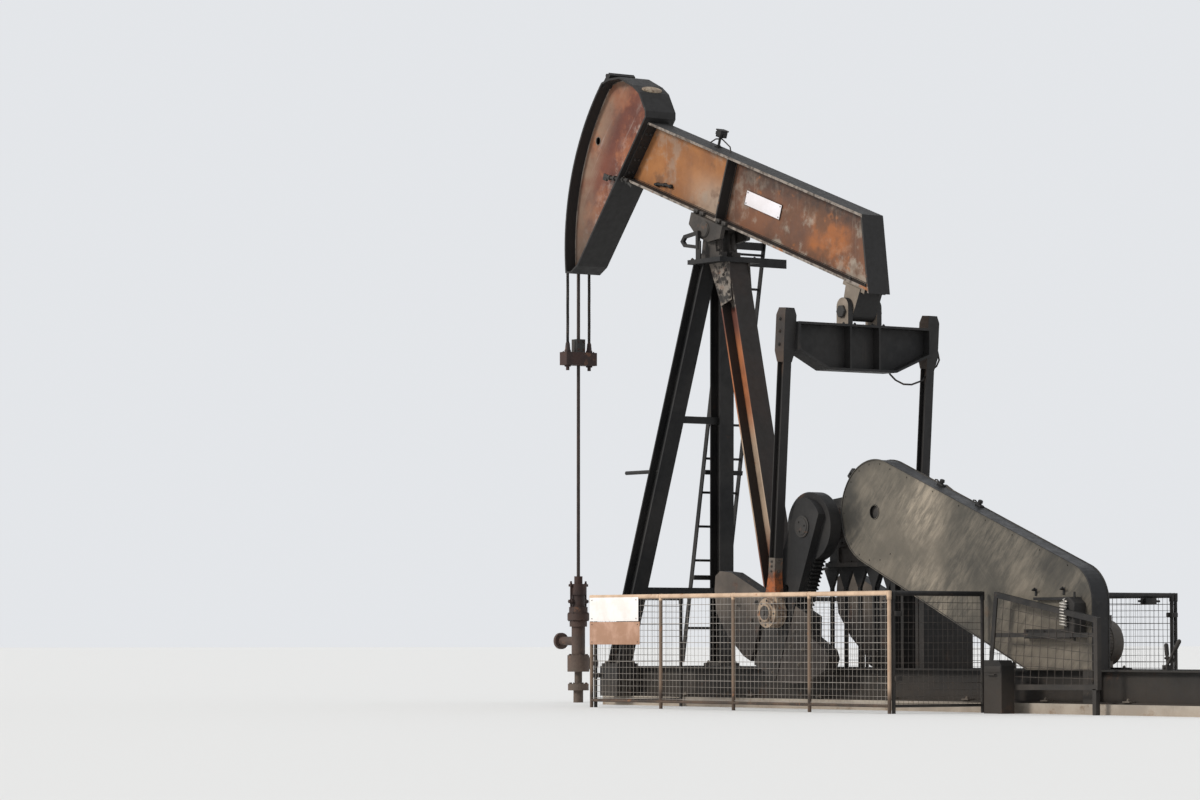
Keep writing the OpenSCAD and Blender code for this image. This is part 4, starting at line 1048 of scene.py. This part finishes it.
bm = bmesh.new()
for t, y in product((0.17, 0.30, 0.43, 0.56), (-0.085, -0.045, 0.045, 0.085)):
    bolt(bm, on_beam(head_back(t) + 0.0175, y, t), BACK, 0.013)
lock_y = 0.120
for y in (-lock_y, lock_y):
    tube(bm, [on_beam(s, y, t) for s, t in ((-1.672, 0.045), (-1.347, 0.101), (-1.236, 0.065))], 0.014, 8)
    for s, t in ((-1.610, 0.0555), (-1.535, 0.0685), (-1.400, 0.0915), (-1.330, 0.0955)):
        turning(bm, on_beam(s, y, t), beam_dir(1, 0.17), [(0, 0.026), (0.026, 0.026)], 6)
    block(bm, (-0.03, -0.010, -0.03), (0.03, 0.010, 0.03), 0.004, at_beam(-1.660, y, 0.045))
    tube(bm, [on_beam(-1.672, math.copysign(0.050, y), 0.045), on_beam(-1.672, y * 1.05, 0.045)], 0.013, 10)
piece("head_joint_bolts", bm, "cast_grey", "beam")

# Oval cover on the upper back plate of the head
bm = bmesh.new()
a = Vector((head_back(0.720) - 0.174, 0.912))
b = Vector((head_back(0.720) - 0.289, 0.947))
along = (b - a).normalized()
mid = (a + b) / 2 - 0.014 * along
outward = Vector((along.y, -along.x))
outward *= math.copysign(1, outward.y)
rings = []
for h, k in ((-0.002, 1.0), (0.010, 1.0), (0.014, 0.94), (0.014, 0.80), (0.020, 0.76), (0.022, 0.4)):
    ring = []
    for u, v in (around(i, 40, k) for i in range(40)):
        p = mid + along * (0.043 * u) + outward * h
        ring.append(on_beam(p.x, 0.108 * v, p.y))
    rings.append(ring)
skin(bm, rings)
piece("head_cover", bm, "cover_tan", "beam")

# Welds of the beam's web, and round the blank plate that is riveted to it
bm = bmesh.new()
for y in (-0.011, 0.011):
    for t in (0.117, 0.650):
        rear = 1.985 + 0.300 * (BEAM_TOP - t) / (BEAM_TOP - BEAM_LOW)
        tube(bm, [on_beam(head_back(t) + 0.02, y, t), on_beam(rear - 0.01, y, t)], 0.006, 6)
    for s in (0.042, 0.064):
        tube(bm, [on_beam(s, y, 0.118), on_beam(s, y, 0.649)], 0.006, 6)
plate = ((0.29, 0.312), (0.81, 0.312), (0.81, 0.442), (0.29, 0.442))
tube(bm, [on_beam(s, -0.0155, t) for s, t in plate], 0.003, 6, closed=True)
piece("beam_welds", bm, "beam_plate", "beam")

bm = bmesh.new()
block(bm, (0.292, -0.0165, 0.314), (0.808, -0.0115, 0.440), 0.0012, to_beam)
piece("blank_plate", bm, "blank_white", "beam")

# A short bar below the front bay
bm = bmesh.new()
tube(bm, [on_beam(s, -0.030, t) for s, t in ((-1.030, 0.150), (-0.860, 0.186), (-0.775, 0.190))], 0.012, 8)
for s, t in ((-1.000, 0.156), (-0.890, 0.180), (-0.800, 0.189)):
    turning(bm, on_beam(s, -0.008, t), NEAR, [(0, 0.020), (0.022, 0.020), (0.036, 0.014)], 6)
piece("web_bar", bm, "black_paint", "beam")

# Bolts of the plate, saddle and tail, and the caps of the tail pin and the centre shaft
bm = bmesh.new()
for s, t in product((0.31, 0.79), (0.330, 0.424)):
    screw(bm, on_beam(s, -0.015, t), NEAR, 0.007)
for s0, ds, y in product((-0.170, 0.170), (-0.045, 0.045), (-0.140, 0.140)):
    bolt(bm, on_beam(s0 + ds, y, BEAM_LOW), beam_dir(0, 1), 0.017)
    y0, y1 = (-0.028, 0.012) if y > 0 else (-0.012, 0.028)
    block(bm, (-0.03, y0, 0.0), (0.03, y1, 0.030), 0.004, at_beam(s0 + ds, y * 0.93, 0.100))
for s, y in product((2.000, 2.212), (-0.085, 0.085)):
    bolt(bm, on_beam(s, y, 0.114), beam_dir(0, 1), 0.016)
    bolt(bm, on_beam(s, y, 0.056), beam_dir(0, -1), 0.016)
for side in (-1, 1):
    turning(bm, (TAIL[0], side * 0.180, TAIL[1]), (0, side, 0),
            [(0, 0.052), (0.006, 0.056), (0.020, 0.056), (0.026, 0.050)], 6)
    turning(bm, on_beam(0, side * 0.165, 0), (0, side, 0),
            [(0, 0.070), (0.008, 0.070), (0.012, 0.062), (0.016, 0.062)], 24)
piece("beam_bolts", bm, "cast_grey", "beam")

# Sensor on a stem: its lead, and a housing with a lid and a cable gland
bm = bmesh.new()
lead = ((-0.190, 4.950), (-0.115, 4.972), (-0.027, 4.963), (0.031, 4.922), (0.089, 4.881), (0.110, 4.800))
tube(bm, [(x, 0.050, z) for x, z in lead], 0.006, 8)
piece("sensor_lead", bm, "wire", "beam")

bm = bmesh.new()
for (s0, y0, t0), (s1, y1, t1), edge in (
        ((-0.352, 0.012, 0.090), (-0.284, 0.088, 0.148), 0.004),
        ((-0.358, 0.006, 0.146), (-0.278, 0.094, 0.159), 0.003),
        ((-0.378, 0.024, 0.104), (-0.350, 0.070, 0.136), 0.004),
        ((-0.352, 0.022, 0), (-0.300, 0.078, 0.008), 0.002)):
    block(bm, (s0, y0, BEAM_TOP + t0), (s1, y1, BEAM_TOP + t1), edge, to_beam)
turning(bm, on_beam(-0.328, 0.050, BEAM_TOP + 0.004), beam_dir(0, 1),
        [(0, 0.020), (0.012, 0.020), (0.016, 0.012), (0.080, 0.012), (0.090, 0.018)], 14)
turning(bm, on_beam(-0.286, 0.050, BEAM_TOP + 0.110), beam_dir(1, 0),
        [(0, 0.013), (0.012, 0.013), (0.018, 0.009)], 10)
piece("sensor_housing", bm, "black_paint", "beam", ["sensor_box"])

# Wire rope on the track of the head, from the tangent point over the top and back
bm = bmesh.new()
track_r = HEAD_R + 0.0125
track_top = 25.5
track_arc = track_top + math.degrees(TILT)
for side in (-1, 1):
    path = [head_point(track_r, track_top - track_arc * k / 150) for k in range(151)]
    rope(bm, [on_beam(p.x, side * ROPE_Y, p.y) for p in path], 0.0125, turn0=side)
top = head_point(track_r, track_top)
rope(bm, [on_beam(top.x, ROPE_Y * (k / 12 - 1), top.y) for k in range(25)], 0.0125)
for side in (-1, 1):
    turning(bm, on_beam(top.x, side * 0.105, top.y), (0, side, 0), [(0, 0.018), (0.03, 0.018)], 14)
piece("track_rope", bm, "wire", "beam", ["track_wires"])

# Equalizer, pitmans and wrist bearings
EQ_TOP = TAIL[1] - 0.110
rise = (EQ_TOP - WRIST[1]) / math.cos(PITMAN_LEAN)
bm = bmesh.new()
for side in (-1, 1):
    out = (0, side, 0)
    for h in (rise - 0.19, rise - 0.08, rise + 0.02):
        bolt(bm, on_pitman(side, 0.0, 0.828, h), out, 0.015)
    turning(bm, on_pitman(side, -0.050, 0.768, rise - 0.09), (-1, 0, 0.07),
            [(0, 0.034), (0.034, 0.034), (0.044, 0.024)], 16)
    for c, s in (around(k, 8, 0.100) for k in range(8)):
        bolt(bm, on_pitman(side, c, 0.845, s), out, 0.009)
    turning(bm, on_pitman(side, 0, 0.864, 0), out,
            [(0, 0.060), (0.004, 0.058), (0.006, 0.02), (0.014, 0.018)], 24)
    for a, h in product((-0.041, 0.041), (0.345, 0.425)):
        across = on_pitman(side, math.copysign(1, a), 0, 0) - on_pitman(side, 0, 0, 0)
        bolt(bm, on_pitman(side, a, 0.768, h), across, 0.013)
    for h in (0.345, 0.385, 0.425):
        bolt(bm, on_pitman(side, 0, 0.809, h), out, 0.011)
for side, x, y in product((-1, 1), (-0.060, 0.060), (0.215, 0.095)):
    bolt(bm, (TAIL[0] + x, side * y, EQ_TOP), UP, 0.013)
piece("pitman_bolts", bm, "cast_grey", "equalizer")

bm = bmesh.new()
x = TAIL[0] - 0.02
for pipe in (((0.30, 2.880), (0.349, 2.800), (0.408, 2.754), (0.495, 2.722), (0.583, 2.722),
              (0.700, 2.760), (0.745, 2.800)),
             ((0.790, 3.065), (0.825, 3.055), (0.871, 3.009), (0.888, 2.941), (0.860, 2.890),
              (0.815, 2.860))):
    tube(bm, [(x, y, z) for y, z in pipe], 0.008, 8)
for y, z in ((0.30, 2.880), (0.745, 2.800), (0.790, 3.065), (0.815, 2.860)):
    turning(bm, (x, y - 0.012, z), FAR, [(0, 0.013), (0.024, 0.013)], 6)
piece("grease_pipes", bm, "wire", "equalizer")

# Cranks and counterweights: nuts on the wrist pins, weight bolts, and the shaft ends with their caps
WRIST_U = 0.770
weight_bolts = ((0.915, -0.520), (0.915, 0.430), (1.050, -0.520), (1.050, 0.430), (0.960, -0.300),
                (0.960, 0.270), (0.800, -0.300), (0.820, 0.270))
bm = bmesh.new()
for side in (-1, 1):
    inward, out = (0, -side, 0), (0, side, 0)
    turning(bm, on_crank(side, WRIST_U, 0, 0.524), inward, [(0, 0.062), (0.008, 0.064)], 20)
    turning(bm, on_crank(side, WRIST_U, 0, 0.516), inward, [(0, 0.052), (0.035, 0.052), (0.042, 0.044)], 6)
    turning(bm, on_crank(side, WRIST_U, 0, 0.48), inward, [(0, 0.026), (0.02, 0.026), (0.024, 0.02)], 16)
    for u, v in weight_bolts:
        bolt(bm, on_crank(side, u, v, 0.7188), out, 0.019)
    turning(bm, on_crank(side, 0, 0, 0.711), out, [(0, 0.072), (0.006, 0.070), (0.008, 0.03)], 28)
    for k in range(3):
        bolt(bm, on_crank(side, *around(k, 3, 0.045), 0.717), out, 0.009)
    for u, v in product((1.18, 1.26), (-0.10, 0.10)):
        bolt(bm, on_crank(side, u, v, 0.702), out, 0.012)
piece("crank_bolts", bm, "cast_grey", "cranks")

# Bridle and polished rod
bm = bmesh.new()
for side in (-1, 1):
    drop = (PIVOT_H - CARRIER_TOP) / 100
    rope(bm, [(WELL_X, side * ROPE_Y, PIVOT_H - drop * k) for k in range(101)], 0.0140, turn0=side)
hang = piece("bridle_ropes", bm, "wire", None, ["hanging_wires"])
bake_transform(hang)

ROD_LOW = 1.090
bm = bmesh.new()
turning(bm, (WELL_X, 0, ROD_LOW), UP, [(0, 0.0158), (1.990, 0.0158), (2.890, 0.0158), (2.898, 0.012)], 32)
rod = piece("polished_rod_bar", bm, "rod_steel", None, ["polished_rod"])
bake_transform(rod)

# Rope sockets above and below the carrier bar, and the bolts of the clamp and the bar
bm = bmesh.new()
for y in (-ROPE_Y, ROPE_Y):
    turning(bm, (WELL_X, y, 3.196), UP,
            [(0, 0.030), (0.018, 0.030), (0.030, 0.024), (0.085, 0.019), (0.095, 0.014)], 20)
    turning(bm, (WELL_X, y, 3.084), DOWN, [(0, 0.030), (0.016, 0.030), (0.020, 0.016), (0.050, 0.016)], 20)
for dx, z, y in product((-0.0455, 0.0455), (3.225, 3.295), (-0.030, 0.030)):
    bolt(bm, (WELL_X + dx, y, z), (math.copysign(1, dx), 0, 0), 0.010)
for y, dx in product((-0.145, 0.145), (-0.035, 0.035)):
    bolt(bm, (WELL_X + dx, y, CARRIER_TOP), UP, 0.008)
piece("bridle_fittings", bm, "well_rust", "rod")

# Floor, sky, sun and camera
floor_mesh = bpy.data.meshes.new("floor")
floor_mesh.from_pydata([(-300, -300, 0), (300, -300, 0), (300, 300, 0), (-300, 300, 0)], [], [(0, 1, 2, 3)])
floor = bpy.data.objects.new("floor", floor_mesh)
bpy.context.scene.collection.objects.link(floor)
floor_mat = bpy.data.materials.new("floor")
floor_mat.use_nodes = True
floor_shader = floor_mat.node_tree.nodes["Principled BSDF"]
floor_shader.inputs["Base Color"].default_value = (0.72, 0.72, 0.71, 1)
floor_shader.inputs["Roughness"].default_value = 0.9
floor.data.materials.append(floor_mat)

world = bpy.data.worlds.new("world")
bpy.context.scene.world = world
world.use_nodes = True
sky = world.node_tree.nodes["Background"]
sky.inputs["Color"].default_value = (0.86, 0.88, 0.91, 1)
sky.inputs["Strength"].default_value = 0.9

sun = bpy.data.objects.new("sun", bpy.data.lights.new("sun", "SUN"))
sun.data.energy = 2.2
sun.data.angle = math.radians(14)
sun.data.color = (1.0, 0.95, 0.88)
sun.rotation_euler = (math.radians(62), 0, math.radians(-12))
bpy.context.scene.collection.objects.link(sun)

camera = bpy.data.objects.new("camera", bpy.data.cameras.new("camera"))
camera.location = (28.970, -21.902, 0.558)
look = Vector((-0.81474, 0.57982, math.tan(math.radians(3.318))))
camera.rotation_euler = look.to_track_quat("-Z", "Y").to_euler()
camera.data.sensor_width = 36
camera.data.lens = 124.8
camera.data.clip_end = 500
bpy.context.scene.collection.objects.link(camera)
bpy.context.scene.camera = camera
bpy.context.scene.view_settings.view_transform = "Standard"
